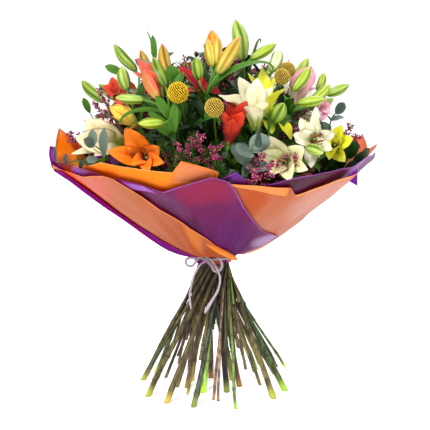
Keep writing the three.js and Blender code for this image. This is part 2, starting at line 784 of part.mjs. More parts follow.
// middle is the place round the bowl, in degrees, where a sheet lies in the middle of the pile: towards its
// right end it runs outside its neighbour, towards its left end inside. inside holds a whole sheet further in.
// left and right are its edges as [distance from the axis, degrees], and rim is [degrees, distance, lift].
const SHEETS = [
  {
    name: "film_orange_front", colour: "film_orange", middle: -140,
    left: [[26, -130], [74, -140], [135, -165], [232, -180]],
    right: [[26, -62], [74, -66], [100, -88], [135, -104], [178, -115], [240, -124]],
    rim: [[-180, 232], [-166, 246], [-152, 258], [-139, 240], [-127, 246], [-124, 240]],
  },
  {
    name: "film_purple_front", colour: "film_purple", middle: -85,
    left: [[26, -80], [74, -95], [135, -130], [236, -150]],
    right: [
      [26, -40], [38, -52], [74, -62], [94, -43], [111, -28], [119, -44], [135, -61], [178, -75], [220, -81],
    ],
    rim: [
      [-150, 236], [-139, 256], [-129, 243], [-119, 228], [-109, 208], [-98, 218], [-88, 228], [-81, 220],
    ],
  },
  {
    name: "film_orange_right", colour: "film_orange", middle: -30,
    left: [[26, -35], [74, -50], [135, -80], [224, -92]],
    right: [[26, 30], [74, 20], [135, -8], [250, -34]],
    rim: [[-92, 224], [-80, 222], [-70, 221], [-61, 220], [-57, 207], [-45, 223], [-34, 250]],
  },
  {
    name: "film_purple_right", colour: "film_purple", middle: 25,
    left: [[26, 10], [74, -20], [135, -60], [218, -88]],
    right: [[26, 75], [240, 45]],
    rim: [
      [-88, 218], [-82, 240], [-74, 218], [-58, 238], [-42, 244], [-25, 244], [-8, 246, 22], [4, 244, 8],
      [16, 242], [30, 239], [45, 236],
    ],
  },
  {
    name: "film_orange_back", colour: "film_orange", middle: 75,
    left: [[26, 55], [74, 30], [135, 8], [238, -6]],
    right: [[26, 135], [240, 122]],
    rim: [
      [-6, 236, 22], [8, 256, 20], [16, 250, 12], [27, 270, 8], [46, 246], [68, 240], [94, 242], [108, 238],
      [122, 236],
    ],
  },
  {
    name: "film_purple_left", colour: "film_purple", middle: 170,
    left: [[26, 115], [238, 108]],
    right: [[26, 248], [74, 248], [94, 231], [111, 221], [135, 214], [178, 211], [250, 210]],
    rim: [
      [108, 236], [122, 242], [136, 240], [149, 246], [163, 264, 10], [174, 248], [185, 240], [197, 240],
      [210, 252],
    ],
  },
  {
    name: "film_orange_inside", colour: "film_orange", inside: 2.9,
    left: [[26, 165], [250, 146]],
    right: [[26, 262], [74, 270], [228, 272]],
    rim: [
      [146, 246], [160, 260, 20], [176, 244], [196, 236], [216, 240], [234, 260], [245, 243], [256, 231],
      [260, 250], [272, 227],
    ],
  },
];
const LOWEST_LAYER = -2.9;
const BOWL_ROWS = [38, 74, 94, 111, 119, 135, 178];

// The value of a table of [place, value] at a place, in straight steps.
function lookUp(table, x) {
  if (x <= table[0][0]) return table[0][1];
  for (let i = 1; i < table.length; i++) {
    const [x1, y1] = table[i];
    const [x0, y0] = table[i - 1];
    if (x <= x1) return mix(y0, y1, (x - x0) / (x1 - x0));
  }
  return table[table.length - 1][1];
}

// A point of the bowl, moved out of the pile by a number of layers.
function bowlPoint(r, a, layer) {
  const slope = mix(SIDE_SLOPE, FRONT_SLOPE, Math.sin(a) ** 2);
  const bend = Math.hypot(r - BOWL_BEND_R, BOWL_BEND);
  const height = (slope * (bend + r - BOWL_BEND_R)) / 2;
  const steep = (slope * (1 + (r - BOWL_BEND_R) / bend)) / 2;
  const opened = smooth(r, COLLAR_R, 200);
  const out = layer * mix(NECK_LAYER, RIM_LAYER, opened) + FILM_WAVE * opened * Math.sin(FILM_WAVES * a);
  const tilt = Math.hypot(1, steep);
  const radius = r + (out * steep) / tilt;
  return V(radius * Math.cos(a), radius * Math.sin(a), BOWL_Z + height - out / tilt);
}

// A point of the gathered film round the stems.
function collarPoint(drop, a, layer) {
  const step = layer - LOWEST_LAYER;
  const radius = COLLAR_R + step * NECK_LAYER;
  const z = drop > COLLAR_BEND ? BOWL_Z - drop : BOWL_Z - COLLAR_BEND - step * COLLAR_STEP;
  return V(radius * Math.cos(a), radius * Math.sin(a), z);
}

// A sheet of film: its rows of points run round the bowl, from the collar to the rim.
function filmRows(sheet) {
  const [leftEnd, rightEnd] = [sheet.rim[0][0], sheet.rim[sheet.rim.length - 1][0]];
  const layerAt = (degrees) => (sheet.inside ? -sheet.inside : (degrees - sheet.middle) / LAYER_ANGLE);
  const row = (radiusAt, pointAt) =>
    sheet.rim.map(([degrees, rimR, lift = 0]) => {
      const r = radiusAt(rimR);
      const share = (degrees - leftEnd) / (rightEnd - leftEnd);
      const place = r === rimR ? degrees : mix(lookUp(sheet.left, r), lookUp(sheet.right, r), share);
      return pointAt(r, rad(place), layerAt(place), lift);
    });
  return [
    row(() => COLLAR_R, (_, a, layer) => collarPoint(COLLAR_DROP, a, layer)),
    row(() => COLLAR_R, (_, a, layer) => collarPoint(COLLAR_BEND, a, layer)),
    ...BOWL_ROWS.map((r) => row(() => r, bowlPoint)),
    row((rimR) => rimR, (r, a, layer, lift) => bowlPoint(r, a, layer).add(V(0, 0, lift))),
  ];
}

// Gives rows of points a thickness, half to each side, and closes the edges.
function thickSheet(rows, thick) {
  const columns = rows[0].length;
  const last = columns - 1;
  const points = [[], []];
  rows.forEach((row, j) => {
    row.forEach((p, i) => {
      const across = row[Math.min(i + 1, last)].clone().sub(row[Math.max(i - 1, 0)]);
      const up = rows[Math.min(j + 1, rows.length - 1)][i].clone().sub(rows[Math.max(j - 1, 0)][i]);
      const normal = across.cross(up).normalize();
      points[0].push(p.clone().addScaledVector(normal, thick / 2));
      points[1].push(p.clone().addScaledVector(normal, -thick / 2));
    });
  });
  const back = points[0].length;
  const faces = [];
  for (let j = 0; j + 1 < rows.length; j++) {
    for (let i = 0; i < last; i++) {
      const a = j * columns + i;
      const [b, c, d] = [a + 1, a + columns, a + columns + 1];
      faces.push(a, b, d, a, d, c);
      faces.push(back + a, back + d, back + b, back + a, back + c, back + d);
    }
  }
  const edge = [];
  for (let i = 0; i < last; i++) edge.push(i);
  for (let j = 0; j + 1 < rows.length; j++) edge.push(j * columns + last);
  for (let i = last; i > 0; i--) edge.push((rows.length - 1) * columns + i);
  for (let j = rows.length - 1; j > 0; j--) edge.push(j * columns);
  edge.forEach((a, k) => {
    const b = edge[(k + 1) % edge.length];
    faces.push(b, a, back + a, b, back + a, back + b);
  });
  const geometry = new THREE.BufferGeometry().setFromPoints([...points[0], ...points[1]]);
  geometry.setIndex(faces);
  return solid(geometry);
}

for (const sheet of SHEETS) {
  grow(sheet.name, thickSheet(filmRows(sheet), FILM_THICK), sheet.colour, 0.45);
}

// ---------------------------------------------------------------- the raffia tie

const KNOT = [-10, -31.6, 206];
const BOW_LOOPS = [
  [
    [-10, -33, 207], [-21, -38, 207], [-33, -41, 206], [-38, -42, 201], [-34, -41, 195], [-23, -38, 200],
    [-10, -33, 205],
  ],
  [
    [-10, -33, 207], [-1, -38, 207], [10, -41, 205], [14, -42, 197], [8, -41, 190], [-1, -38, 198],
    [-10, -33, 205],
  ],
];
const TAILS = [
  {
    name: "raffia_tail_left",
    route: [
      [-13, -38.5, 203], [-19, -45, 200], [-27, -45, 188], [-33, -40, 168], [-35, -42, 150], [-33, -43, 132],
    ],
  },
  {
    name: "raffia_tail_right",
    route: [
      [-7, -38.5, 203], [2, -45, 198], [10, -45, 182], [8, -42, 162], [-2, -49, 145], [-12, -54, 128],
    ],
  },
];

// A flat strip along a path, its broad side facing outwards.
function strip(points, { width, thick }) {
  const along = directions(points);
  return skin(
    points.map((p, i) => {
      const s = V(0, 1, 0).cross(along[i]).normalize();
      const n = along[i].clone().cross(s);
      return [[1, 1], [-1, 1], [-1, -1], [1, -1]].map(([x, y]) =>
        p.clone().addScaledVector(s, (x * width) / 2).addScaledVector(n, (y * thick) / 2),
      );
    }),
  );
}

function band() {
  const half = RAFFIA.width / 2;
  const outer = BAND_R + RAFFIA.thick;
  const profile = [[BAND_R, -half], [outer, -half], [outer, half], [BAND_R, half], [BAND_R, -half]];
  const geometry = new THREE.LatheGeometry(profile.map(([r, h]) => new THREE.Vector2(r, h)), 20);
  geometry.rotateX(Math.PI / 2);
  geometry.translate(0, 0, NECK_Z);
  return solid(geometry);
}

function knot() {
  const geometry = new THREE.SphereGeometry(1, 6, 5);
  geometry.scale(5, 4.2, 4.2);
  geometry.translate(...KNOT);
  return solid(geometry);
}

const loops = BOW_LOOPS.map((loop) => strip(loop.map(at), RAFFIA));
grow("raffia_bow", join([band(), knot(), ...loops]), "raffia", 0.8);

const TAIL_SIDES = 8;
const CENTRE = new THREE.Vector2();

for (const { name, route } of TAILS) {
  const section = Array.from({ length: TAIL_SIDES }, (_, k) =>
    new THREE.Vector2(TAIL_R, 0).rotateAround(CENTRE, (2 * Math.PI * k) / TAIL_SIDES),
  );
  const geometry = new THREE.ExtrudeGeometry(new THREE.Shape(section), {
    steps: 9,
    extrudePath: new THREE.CatmullRomCurve3(route.map(at)),
  });
  grow(name, solid(geometry), "raffia", 0.8);
}

// ---------------------------------------------------------------- the scene

const group = new THREE.Group();
for (const [name, shape] of grown) {
  const { vertProperties, triVerts } = shape.getMesh();
  const geometry = new THREE.BufferGeometry();
  geometry.setAttribute("position", new THREE.BufferAttribute(vertProperties, 3));
  geometry.setIndex(new THREE.BufferAttribute(triVerts, 1));
  geometry.computeVertexNormals();
  const mesh = new THREE.Mesh(geometry, looks.get(name));
  mesh.name = name;
  group.add(mesh);
}

export default group;
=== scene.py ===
"""A hand-tied mixed bouquet in a bowl of orange and purple film, made over its solids.

Places and sizes in the tables are millimetres, as in the solids' own source. Every mesh is written in metres.
"""

import math

import bpy
import numpy as np
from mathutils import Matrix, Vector


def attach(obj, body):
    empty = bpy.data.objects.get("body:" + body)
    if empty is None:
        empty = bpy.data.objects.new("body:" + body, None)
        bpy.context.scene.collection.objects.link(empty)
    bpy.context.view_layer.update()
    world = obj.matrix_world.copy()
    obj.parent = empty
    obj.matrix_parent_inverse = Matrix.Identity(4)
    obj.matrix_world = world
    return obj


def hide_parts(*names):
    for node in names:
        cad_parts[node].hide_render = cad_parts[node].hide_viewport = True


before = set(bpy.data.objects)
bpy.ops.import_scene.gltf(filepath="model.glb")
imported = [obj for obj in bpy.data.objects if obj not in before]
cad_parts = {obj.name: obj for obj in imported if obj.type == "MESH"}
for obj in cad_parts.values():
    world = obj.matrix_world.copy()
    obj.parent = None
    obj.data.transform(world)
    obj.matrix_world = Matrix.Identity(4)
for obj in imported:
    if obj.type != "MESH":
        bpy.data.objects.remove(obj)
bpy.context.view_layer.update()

MM = 0.001  # one millimetre, in metres
PHOTO_PX = 430

# ---------------------------------------------------------------- driving dimensions

NECK_Z = 206  # height of the tie
SPIRAL_PER_MM = 0.0275  # how fast the stems lean round the axis below it
RING_RADII = [0, 7.2, 13.6, 19.8]  # the rings in which the stems are tied
RING_LAGS = [0, 24, 34, 30]  # degrees that each ring is turned back from its heads
FAN_CENTRE_Z = 285  # the heads point away from this height on the axis
LILY_R = (4.3, 2.7, 2.4)  # stem radius at the foot, the neck and the top
THIN_R = (2.6, 1.6, 1.3)
UPPER_STEM = 250  # height above the neck where a stem has its top's radius
TALLEST_CUT = 110  # how high the thin stems may end above the table
SCARS_FROM = 18  # height of the lowest scar on a stem
DOME_FALL = 0.0034  # how the dome of heads falls, for each square millimetre from the axis
DOME_TOP = 545
LEAF_TOP = 532  # the top of the dome that the small leaves stay under
LEAF_REACH = 215  # how far from the axis they may go
LEAF_FLOOR = (188, 0.81)  # how low they may go: at the axis, and how much higher for each millimetre out
GOLDEN_ANGLE = 2.39996  # the turn from one to the next in an even spiral
CRASPEDIA_FLORETS = 330  # on a head of the next radius
CRASPEDIA_R = 15

ROUND_LEAF = (36, 31)  # length and width
SMALL_LEAF = (24, 16)
GUM_LEAF = (40, 12)
LEAF_PAIRS = 3
PETAL_THICK = 0.9
LEAF_THICK = 0.7

COLLAR_R = 24.4  # the film below the tie
COLLAR_DROP = 16
COLLAR_BEND = 2  # how far under the foot of the bowl the film turns down
COLLAR_STEP = 0.6  # how much lower each layer out turns
BOWL_Z = 213  # the foot of the bowl
BOWL_BEND_R = 70  # where the bowl turns up, and over what distance
BOWL_BEND = 12
SIDE_SLOPE = 0.74
FRONT_SLOPE = 0.88
FILM_WAVE = 4
FILM_WAVES = 5
LAYER_ANGLE = 55  # degrees round the bowl from one layer of the pile to the next
NECK_LAYER = 1.1  # distance between the layers at the neck and at the rim
RIM_LAYER = 3.4
LOWEST_LAYER = -2.9
FILM_THICK = 0.3
FILM_REACH = 250  # the film's first mark is 1 at this distance from the axis
EDGE_REACH = 20  # its second mark grows over this distance from an edge

BAND_R = 30.8
RAFFIA_WIDTH = 4.0

# ---------------------------------------------------------------- camera

CAMERA_AT = Vector((0.003, -2.0, 0.6))
CAMERA_LOOKS_AT = Vector((0.003, 0, 0.268))
FOCAL_PX = 1333
SENSOR_MM = 36


def add_camera():
    data = bpy.data.cameras.new("camera")
    data.sensor_width = SENSOR_MM
    data.lens = FOCAL_PX * SENSOR_MM / PHOTO_PX
    camera = bpy.data.objects.new("camera", data)
    camera.location = CAMERA_AT
    camera.rotation_euler = (CAMERA_LOOKS_AT - CAMERA_AT).to_track_quat("-Z", "Y").to_euler()
    bpy.context.scene.collection.objects.link(camera)
    bpy.context.scene.camera = camera


add_camera()
CAMERA_TURN = np.array((CAMERA_LOOKS_AT - CAMERA_AT).to_track_quat("-Z", "Y").to_matrix())


def seen(across, down, depth):
    """The point that the camera shows at a place in the picture, in pixels, at a depth in millimetres."""
    half = PHOTO_PX / 2
    ray = CAMERA_TURN @ np.array([across - half, half - down, -FOCAL_PX])
    start = np.array(CAMERA_AT) / MM
    return start + ray * (depth - start[1]) / ray[1]


def shown(point):
    """Where a point in millimetres is in the picture: the other way round from seen."""
    from_camera = (np.asarray(point, float) - np.array(CAMERA_AT) / MM) @ CAMERA_TURN
    return PHOTO_PX / 2 + FOCAL_PX * from_camera[..., :2] * [1, -1] / -from_camera[..., 2:]


# ---------------------------------------------------------------- numbers


def mix(a, b, t):
    return a + (b - a) * t


def smooth(x, low, high):
    t = np.clip((x - low) / (high - low), 0, 1)
    return t * t * (3 - 2 * t)


def curve_through(stations, values, x):
    """A smooth curve through a table of values, read at x."""
    stations, values = np.asarray(stations, float), np.asarray(values, float)
    slopes = np.gradient(values, stations)
    x = np.clip(x, stations[0], stations[-1])
    i = np.clip(np.searchsorted(stations, x, side="right") - 1, 0, len(stations) - 2)
    step = stations[i + 1] - stations[i]
    t = (x - stations[i]) / step
    return (
        (2 * t**3 - 3 * t**2 + 1) * values[i]
        + (t**3 - 2 * t**2 + t) * step * slopes[i]
        + (3 * t**2 - 2 * t**3) * values[i + 1]
        + (t**3 - t**2) * step * slopes[i + 1]
    )


def unit(v):
    v = np.asarray(v, float)
    return v / np.maximum(np.linalg.norm(v, axis=-1, keepdims=True), 1e-9)


def chance(i, k):
    """A number from 0 to 1 that depends only on its two seeds."""
    s = math.sin(i * 12.9898 + k * 78.233) * 43758.5453
    return s - math.floor(s)


def sides(axis):
    """Two directions square to an axis."""
    up = np.array([0.0, 1.0, 0.0]) if abs(axis[2]) > 0.9 else np.array([0.0, 0.0, 1.0])
    s = unit(np.cross(up, axis))
    return s, np.cross(axis, s)


def around(s, n, angle):
    return s * math.cos(angle) + n * math.sin(angle)


def dome(top, r):
    """The height of a dome at a distance from the axis."""
    return top - DOME_FALL * r * r


def bezier(a, b, c, d, t):
    a, b, c, d = (np.asarray(p, float) for p in (a, b, c, d))
    t = np.asarray(t, float)[..., None]
    return (1 - t) ** 3 * a + 3 * t * (1 - t) ** 2 * b + 3 * t**2 * (1 - t) * c + t**3 * d


def line_through(stations, line, x):
    return np.stack([curve_through(stations, line[:, k], x) for k in range(3)], 1)


def smooth_route(route, count):
    route = np.asarray(route, float)
    steps = np.concatenate([[0], np.cumsum(np.linalg.norm(np.diff(route, axis=0), axis=1))])
    return line_through(steps, route, np.linspace(0, steps[-1], count))


def part_way(table, share):
    """The rows of a table of points or directions, read at shares from 0 to 1."""
    base = np.linspace(0, 1, len(table))
    return np.stack([np.interp(share, base, table[:, k]) for k in range(3)], -1)


def directions(line):
    return unit(np.gradient(line, axis=0))


def carried(line):
    """Directions along a line, and two side directions carried along it without twisting."""
    along = directions(line)
    side = sides(along[0])[0]
    across = []
    for t in along:
        side = unit(side - t * np.dot(side, t))
        across.append(side)
    across = np.array(across)
    return along, across, np.cross(along, across)


# ---------------------------------------------------------------- shapes


class Shape:
    """Points and faces gathered from many small parts, in millimetres.

    Each point carries three marks for the materials: its place along the part, its place across, and a tone of
    the part's own.
    """

    def __init__(self):
        self.points, self.marks, self.faces, self.looks, self.size = [], [], [], [], 0

    def add(self, points, marks, groups, looks):
        """looks is one look for all the groups of faces, or one for each of them."""
        points = np.asarray(points, float).reshape(-1, 3)
        self.points.append(points)
        self.marks.append(np.asarray(marks, float).reshape(-1, 3))
        for group, look in zip(groups, np.broadcast_to(looks, len(groups))):
            group = np.asarray(group, int)
            self.faces.append(group + self.size)
            self.looks.append(np.full(len(group), look))
        self.size += len(points)

    def build(self, name, materials):
        mesh = bpy.data.meshes.new(name)
        points = np.concatenate(self.points) * MM
        sizes = np.concatenate([np.full(len(f), f.shape[1]) for f in self.faces])
        corners = np.concatenate([f.ravel() for f in self.faces])
        mesh.vertices.add(len(points))
        mesh.vertices.foreach_set("co", points.ravel())
        mesh.loops.add(len(corners))
        mesh.loops.foreach_set("vertex_index", corners)
        mesh.polygons.add(len(sizes))
        mesh.polygons.foreach_set("loop_start", np.concatenate([[0], np.cumsum(sizes)[:-1]]))
        for material in materials:
            mesh.materials.append(material)
        mesh.polygons.foreach_set("material_index", np.concatenate(self.looks))
        mesh.update(calc_edges=True)
        mesh.shade_smooth()
        mark = mesh.attributes.new("mark", "FLOAT_VECTOR", "POINT")
        mark.data.foreach_set("vector", np.concatenate(self.marks).ravel())
        piece = bpy.data.objects.new(name, mesh)
        bpy.context.scene.collection.objects.link(piece)
        return piece


def place(shape, name, materials, slot, *nodes):
    """Builds a piece, which rides on the bouquet and stands for its solids."""
    piece = shape.build(name, materials)
    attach(piece, "root")
    if nodes:
        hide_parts(*nodes)
    return piece


def grid_faces(rows, columns, wrapped=False):
    i, j = np.meshgrid(np.arange(rows - 1), np.arange(columns if wrapped else columns - 1), indexing="ij")
    k = (j + 1) % columns
    here, above = i * columns, (i + 1) * columns
    return np.stack([here + j, here + k, above + k, above + j], -1).reshape(-1, 4)


def tube(shape, line, radii, count, tone=0.5, look=0, end_look=None, level=False, across=None):
    """A closed tube. radii is one number for each place along the line, or a table with one for each corner too.

    A level tube starts with a level end. across is its second mark.
    """
    line = np.asarray(line, float)
    radii = np.asarray(radii, float)
    if radii.ndim < 2:
        radii = np.repeat(np.broadcast_to(radii, len(line))[:, None], count, 1)
    along, s, n = carried(line)
    a = np.arange(count) * 2 * np.pi / count
    ring = s[:, None] * np.cos(a)[None, :, None] + n[:, None] * np.sin(a)[None, :, None]
    points = line[:, None] + ring * radii[..., None]
    if level:
        drop = (points[0, :, 2] - line[0, 2]) / along[0, 2]
        points[0] -= drop[:, None] * along[0]
    rows = len(line)
    u = np.repeat(np.linspace(0, 1, rows)[:, None], count, 1)
    v = np.zeros_like(u) if across is None else across
    marks = np.stack([u, v, np.full_like(u, tone)], -1)
    start, end = np.arange(count)[::-1][None], np.arange(count)[None] + (rows - 1) * count
    cap = look if end_look is None else end_look
    shape.add(points, marks, [grid_faces(rows, count, wrapped=True), start, end], [look, cap, look])


THIN_EDGE = 0.25  # the share of its thickness that a sheet has at its border


def sheet_solid(shape, grid, marks, thick, look=0, under=None):
    """A thin closed solid round a grid of points. under is the look of its lower side."""
    rows, columns = grid.shape[:2]
    normal = unit(np.cross(np.gradient(grid, axis=1), np.gradient(grid, axis=0)))
    half = np.full((rows, columns, 1), thick / 2)
    half[[0, -1]] *= THIN_EDGE
    half[:, [0, -1]] *= THIN_EDGE
    faces = grid_faces(rows, columns)
    count = rows * columns
    points = np.concatenate([(grid + normal * half).reshape(-1, 3), (grid - normal * half).reshape(-1, 3)])
    i = np.arange(rows - 1)
    j = np.arange(columns - 1)
    border = np.concatenate(
        [j, i * columns + columns - 1, (rows - 1) * columns + j[::-1] + 1, (i[::-1] + 1) * columns]
    )
    following = np.roll(border, -1)
    rim = np.stack([border, border + count, following + count, following], -1)
    marks = np.concatenate([marks.reshape(-1, 3)] * 2)
    shape.add(points, marks, [faces[:, ::-1], rim, faces + count], [look, look, look if under is None else under])


def blade(
    shape, line, upper, widths, thick, cup=0.1, columns=7, ruffle=0.0, waves=3, rib=0.0, tone=0.5, look=0, under=None,
):
    """A leaf along a line, its upper face turned to upper.

    Its edges rise by cup of its width and are ruffled, and its middle sinks by rib of its width.
    """
    rows = len(line)
    along = directions(line)
    side = unit(np.cross(np.broadcast_to(upper, (rows, 3)), along))
    face = np.cross(along, side)
    u = np.linspace(0, 1, rows)[:, None]
    v = np.linspace(-1, 1, columns)[None]
    widths = np.asarray(widths, float)[:, None]
    cup = np.broadcast_to(np.asarray(cup, float).reshape(-1, 1), (rows, 1))
    lift = cup * widths * np.abs(v) ** 1.5
    lift = lift + ruffle * widths * v**2 * np.sin(2 * np.pi * (waves * u + tone + 0.23 * np.sign(v)))
    lift = lift - rib * widths * np.exp(-((v / 0.2) ** 2)) * (1 - u**2)
    grid = line[:, None] + side[:, None] * (v * widths / 2)[..., None] + face[:, None] * lift[..., None]
    marks = np.stack(np.broadcast_arrays(u, v, np.full((1, 1), tone)), -1)
    sheet_solid(shape, grid, marks, thick, look, under)


def copies(shape, template, matrices, offsets, tones, look=0):
    """Many turned and moved copies of a small part: (points, marks, groups of faces)."""
    points, marks, faces = template
    many = len(offsets)
    if not many:
        return
    moved = np.einsum("kij,nj->kni", np.asarray(matrices), points) + np.asarray(offsets)[:, None]
    tinted = np.repeat(marks[None], many, 0)
    tinted[..., 2] = np.asarray(tones)[:, None]
    shift = (np.arange(many) * len(points))[:, None, None]
    shape.add(moved, tinted, [(f[None] + shift).reshape(-1, f.shape[1]) for f in faces], look)


def turned(heads, sizes):
    """Matrices that turn +Z to each of some directions and scale to sizes."""
    z = unit(np.asarray(heads, float))
    up = np.where(np.abs(z[:, 2:3]) > 0.9, [[1.0, 0, 0]], [[0, 0, 1.0]])
    x = unit(np.cross(up, z))
    return np.stack([x, np.cross(z, x), z], -1) * sizes[:, None, None]


def lathe(profile, count):
    """A small turned part about +Z, from (distance, height) pairs, as points, marks and faces for copies."""
    a = np.arange(count) * 2 * np.pi / count
    profile = np.asarray(profile, float)
    rows = len(profile)
    out, height = profile[:, :1], np.repeat(profile[:, 1:], count, 1)
    points = np.stack([out * np.cos(a), out * np.sin(a), height], -1).reshape(-1, 3)
    u = np.repeat(np.linspace(0, 1, rows), count)
    marks = np.stack([u, np.zeros_like(u), np.zeros_like(u)], -1)
    caps = np.stack([np.arange(count)[::-1], np.arange(count) + (rows - 1) * count])
    return points, marks, [grid_faces(rows, count, wrapped=True), caps]


# ---------------------------------------------------------------- materials


def colour(text):
    """A colour written as rrggbb, as the linear values that a shader takes."""
    parts = [int(text[i:i + 2], 16) / 255 for i in (0, 2, 4)]
    return [c / 12.92 if c <= 0.04045 else ((c + 0.055) / 1.055) ** 2.4 for c in parts] + [1]


class Look:
    """A material built from nodes. along, across and tone are the three marks of a point."""

    def __init__(self, name, roughness, specular, sheen=0.0):
        self.material = bpy.data.materials.new(name)
        self.material.use_nodes = True
        self.tree = self.material.node_tree
        self.shader = self.tree.nodes["Principled BSDF"]
        self.shader.inputs["Roughness"].default_value = roughness
        self.shader.inputs["Specular IOR Level"].default_value = specular
        self.shader.inputs["Sheen Weight"].default_value = sheen
        mark = self.node("ShaderNodeAttribute", attribute_name="mark")
        split = self.node("ShaderNodeSeparateXYZ", {"Vector": mark.outputs["Vector"]})
        self.along, self.across, self.tone = split.outputs

    def node(self, kind, values=None, **settings):
        node = self.tree.nodes.new(kind)
        for key, value in settings.items():
            setattr(node, key, value)
        for key, value in (values or {}).items():
            if isinstance(value, bpy.types.NodeSocket):
                self.tree.links.new(value, node.inputs[key])
            else:
                node.inputs[key].default_value = value
        return node

    def math(self, operation, a, b=0.0):
        return self.node("ShaderNodeMath", {0: a, 1: b}, operation=operation).outputs[0]

    def times(self, a, b):
        return self.math("MULTIPLY", a, b)

    def plus(self, a, b):
        return self.math("ADD", a, b)

    def spread(self, value, low, high, out_low=0.0, out_high=1.0):
        """value taken from low..high to out_low..out_high, smoothly."""
        values = {"Value": value, "From Min": low, "From Max": high, "To Min": out_low, "To Max": out_high}
        return self.node("ShaderNodeMapRange", values, interpolation_type="SMOOTHSTEP").outputs["Result"]

    def ramp(self, value, stops):
        ramp = self.node("ShaderNodeValToRGB", {"Fac": value})
        elements = ramp.color_ramp.elements
        while len(elements) < len(stops):
            elements.new(0.5)
        for element, (at, text) in zip(elements, stops):
            element.position = at
            element.color = colour(text)
        return ramp.outputs["Color"]

    def mixed(self, share, a, b, kind="MIX"):
        node = self.node("ShaderNodeMix", data_type="RGBA", blend_type=kind)
        for socket, value in ((0, share), (6, a), (7, b)):
            if isinstance(value, bpy.types.NodeSocket):
                self.tree.links.new(value, node.inputs[socket])
            else:
                node.inputs[socket].default_value = colour(value) if isinstance(value, str) else value
        return node.outputs[2]

    def over(self, base, tint, value, low, high, out_low=0.0, out_high=1.0):
        """A tint over a base, with the share that spread gives."""
        return self.mixed(self.spread(value, low, high, out_low, out_high), base, tint)

    def darkened(self, base, shade):
        grey = self.node("ShaderNodeCombineColor", {0: shade, 1: shade, 2: shade}).outputs[0]
        return self.mixed(1.0, base, grey, "MULTIPLY")

    def place(self):
        return self.node("ShaderNodeTexCoord").outputs["Object"]

    def noise(self, scale, detail, stretch):
        """Noise in the object's own space, in cells to the metre."""
        moved = self.node("ShaderNodeMapping", {"Vector": self.place(), "Scale": stretch}).outputs["Vector"]
        values = {"Vector": moved, "Scale": scale, "Detail": detail}
        return self.node("ShaderNodeTexNoise", values).outputs["Fac"]

    def marked_noise(self, along, across, detail):
        """Noise in the part's own marks, so many cells along it and across it."""
        shift = self.times(self.tone, 31.7)
        x = self.plus(self.times(self.along, along), shift)
        y = self.times(self.across, across)
        place = self.node("ShaderNodeCombineXYZ", {0: x, 1: y, 2: shift}).outputs[0]
        return self.node("ShaderNodeTexNoise", {"Vector": place, "Scale": 1.0, "Detail": detail}).outputs["Fac"]

    def finish(self, base, bump=None, depth=0.0, light_through=0.0, through=None, see_through=0.0):
        """Gives the shader its colour, and a relief of depth millimetres.

        light_through and see_through are the shares of translucent and clear surface, and through is their colour.
        """
        through = base if through is None else through
        self.tree.links.new(base, self.shader.inputs["Base Color"])
        if bump is not None:
            values = {"Height": bump, "Distance": depth * MM, "Strength": 1.0}
            relief = self.node("ShaderNodeBump", values).outputs["Normal"]
            self.tree.links.new(relief, self.shader.inputs["Normal"])
        surface = self.shader.outputs["BSDF"]
        for share, kind in ((light_through, "Translucent"), (see_through, "Transparent")):
            if share:
                other = self.node("ShaderNodeBsdf" + kind, {"Color": through}).outputs[0]
                surface = self.node("ShaderNodeMixShader", {0: share, 1: surface, 2: other}).outputs[0]
        self.tree.links.new(surface, self.tree.nodes["Material Output"].inputs["Surface"])
        return self.material


def petal_look(name, throat, body, tip, rib, rib_share=0.5):
    """The colour runs from the throat to the tip, under a rib and veins of another."""
    look = Look(name, roughness=0.42, specular=0.35, sheen=0.1)
    base = look.ramp(look.along, [(0.0, throat), (0.22, throat), (0.5, body), (0.82, body), (1.0, tip)])
    side = look.math("ABSOLUTE", look.across)
    near_rib = look.times(look.spread(side, 0.0, 0.2, 1, 0), look.spread(look.along, 0.55, 1.0, 1, 0))
    base = look.mixed(look.times(near_rib, rib_share), base, rib)
    veins = look.marked_noise(2.5, 9, 3)
    base = look.over(base, rib, veins, 0.35, 0.7, 0, 0.22)
    base = look.darkened(base, look.plus(look.times(look.tone, 0.3), 0.82))
    return look.finish(base, bump=veins, depth=0.5, light_through=0.32)


def bud_look(name, base_tint, body, tip, groove, rib):
    """A rib runs down the middle of each petal between two paler bands, and the petals meet in grooves."""
    look = Look(name, roughness=0.4, specular=0.35)
    base = look.ramp(look.along, [(0.0, base_tint), (0.3, body), (0.7, body), (1.0, tip)])
    patches = look.noise(60, 3, (1, 1, 0.4))
    base = look.over(base, tip, patches, 0.4, 0.65, 0, 0.5)
    pale = look.times(look.spread(look.across, 0.1, 0.34), look.spread(look.across, 0.66, 0.4))
    base = look.mixed(look.times(pale, 0.4), base, rib)
    base = look.over(base, groove, look.across, 0.68, 0.94, 0, 0.9)
    base = look.over(base, groove, look.across, 0.13, 0.0, 0, 0.8)
    return look.finish(base, bump=patches, depth=0.3, light_through=0.1)


def leaf_look(name, body, edge, rib, under=False):
    look = Look(name, roughness=0.5 if under else 0.4, specular=0.25 if under else 0.35)
    side = look.math("ABSOLUTE", look.across)
    veins = look.marked_noise(1.2, 12, 2)
    base = look.mixed(look.spread(veins, 0.35, 0.7, 0, 0.4), body, rib)
    base = look.over(base, edge, side, 0.72, 1.0, 0, 0.55)
    base = look.over(base, rib, side, 0.0, 0.12, 0.5, 0)
    base = look.darkened(base, look.plus(look.times(look.tone, 0.7), 0.6))
    return look.finish(base, bump=veins, depth=0.5, light_through=0.12)


KNOT_TINT = "2c2014"  # of a stem at its nodes
UPPER_TINT = "4f7a26"  # of a stem above the neck


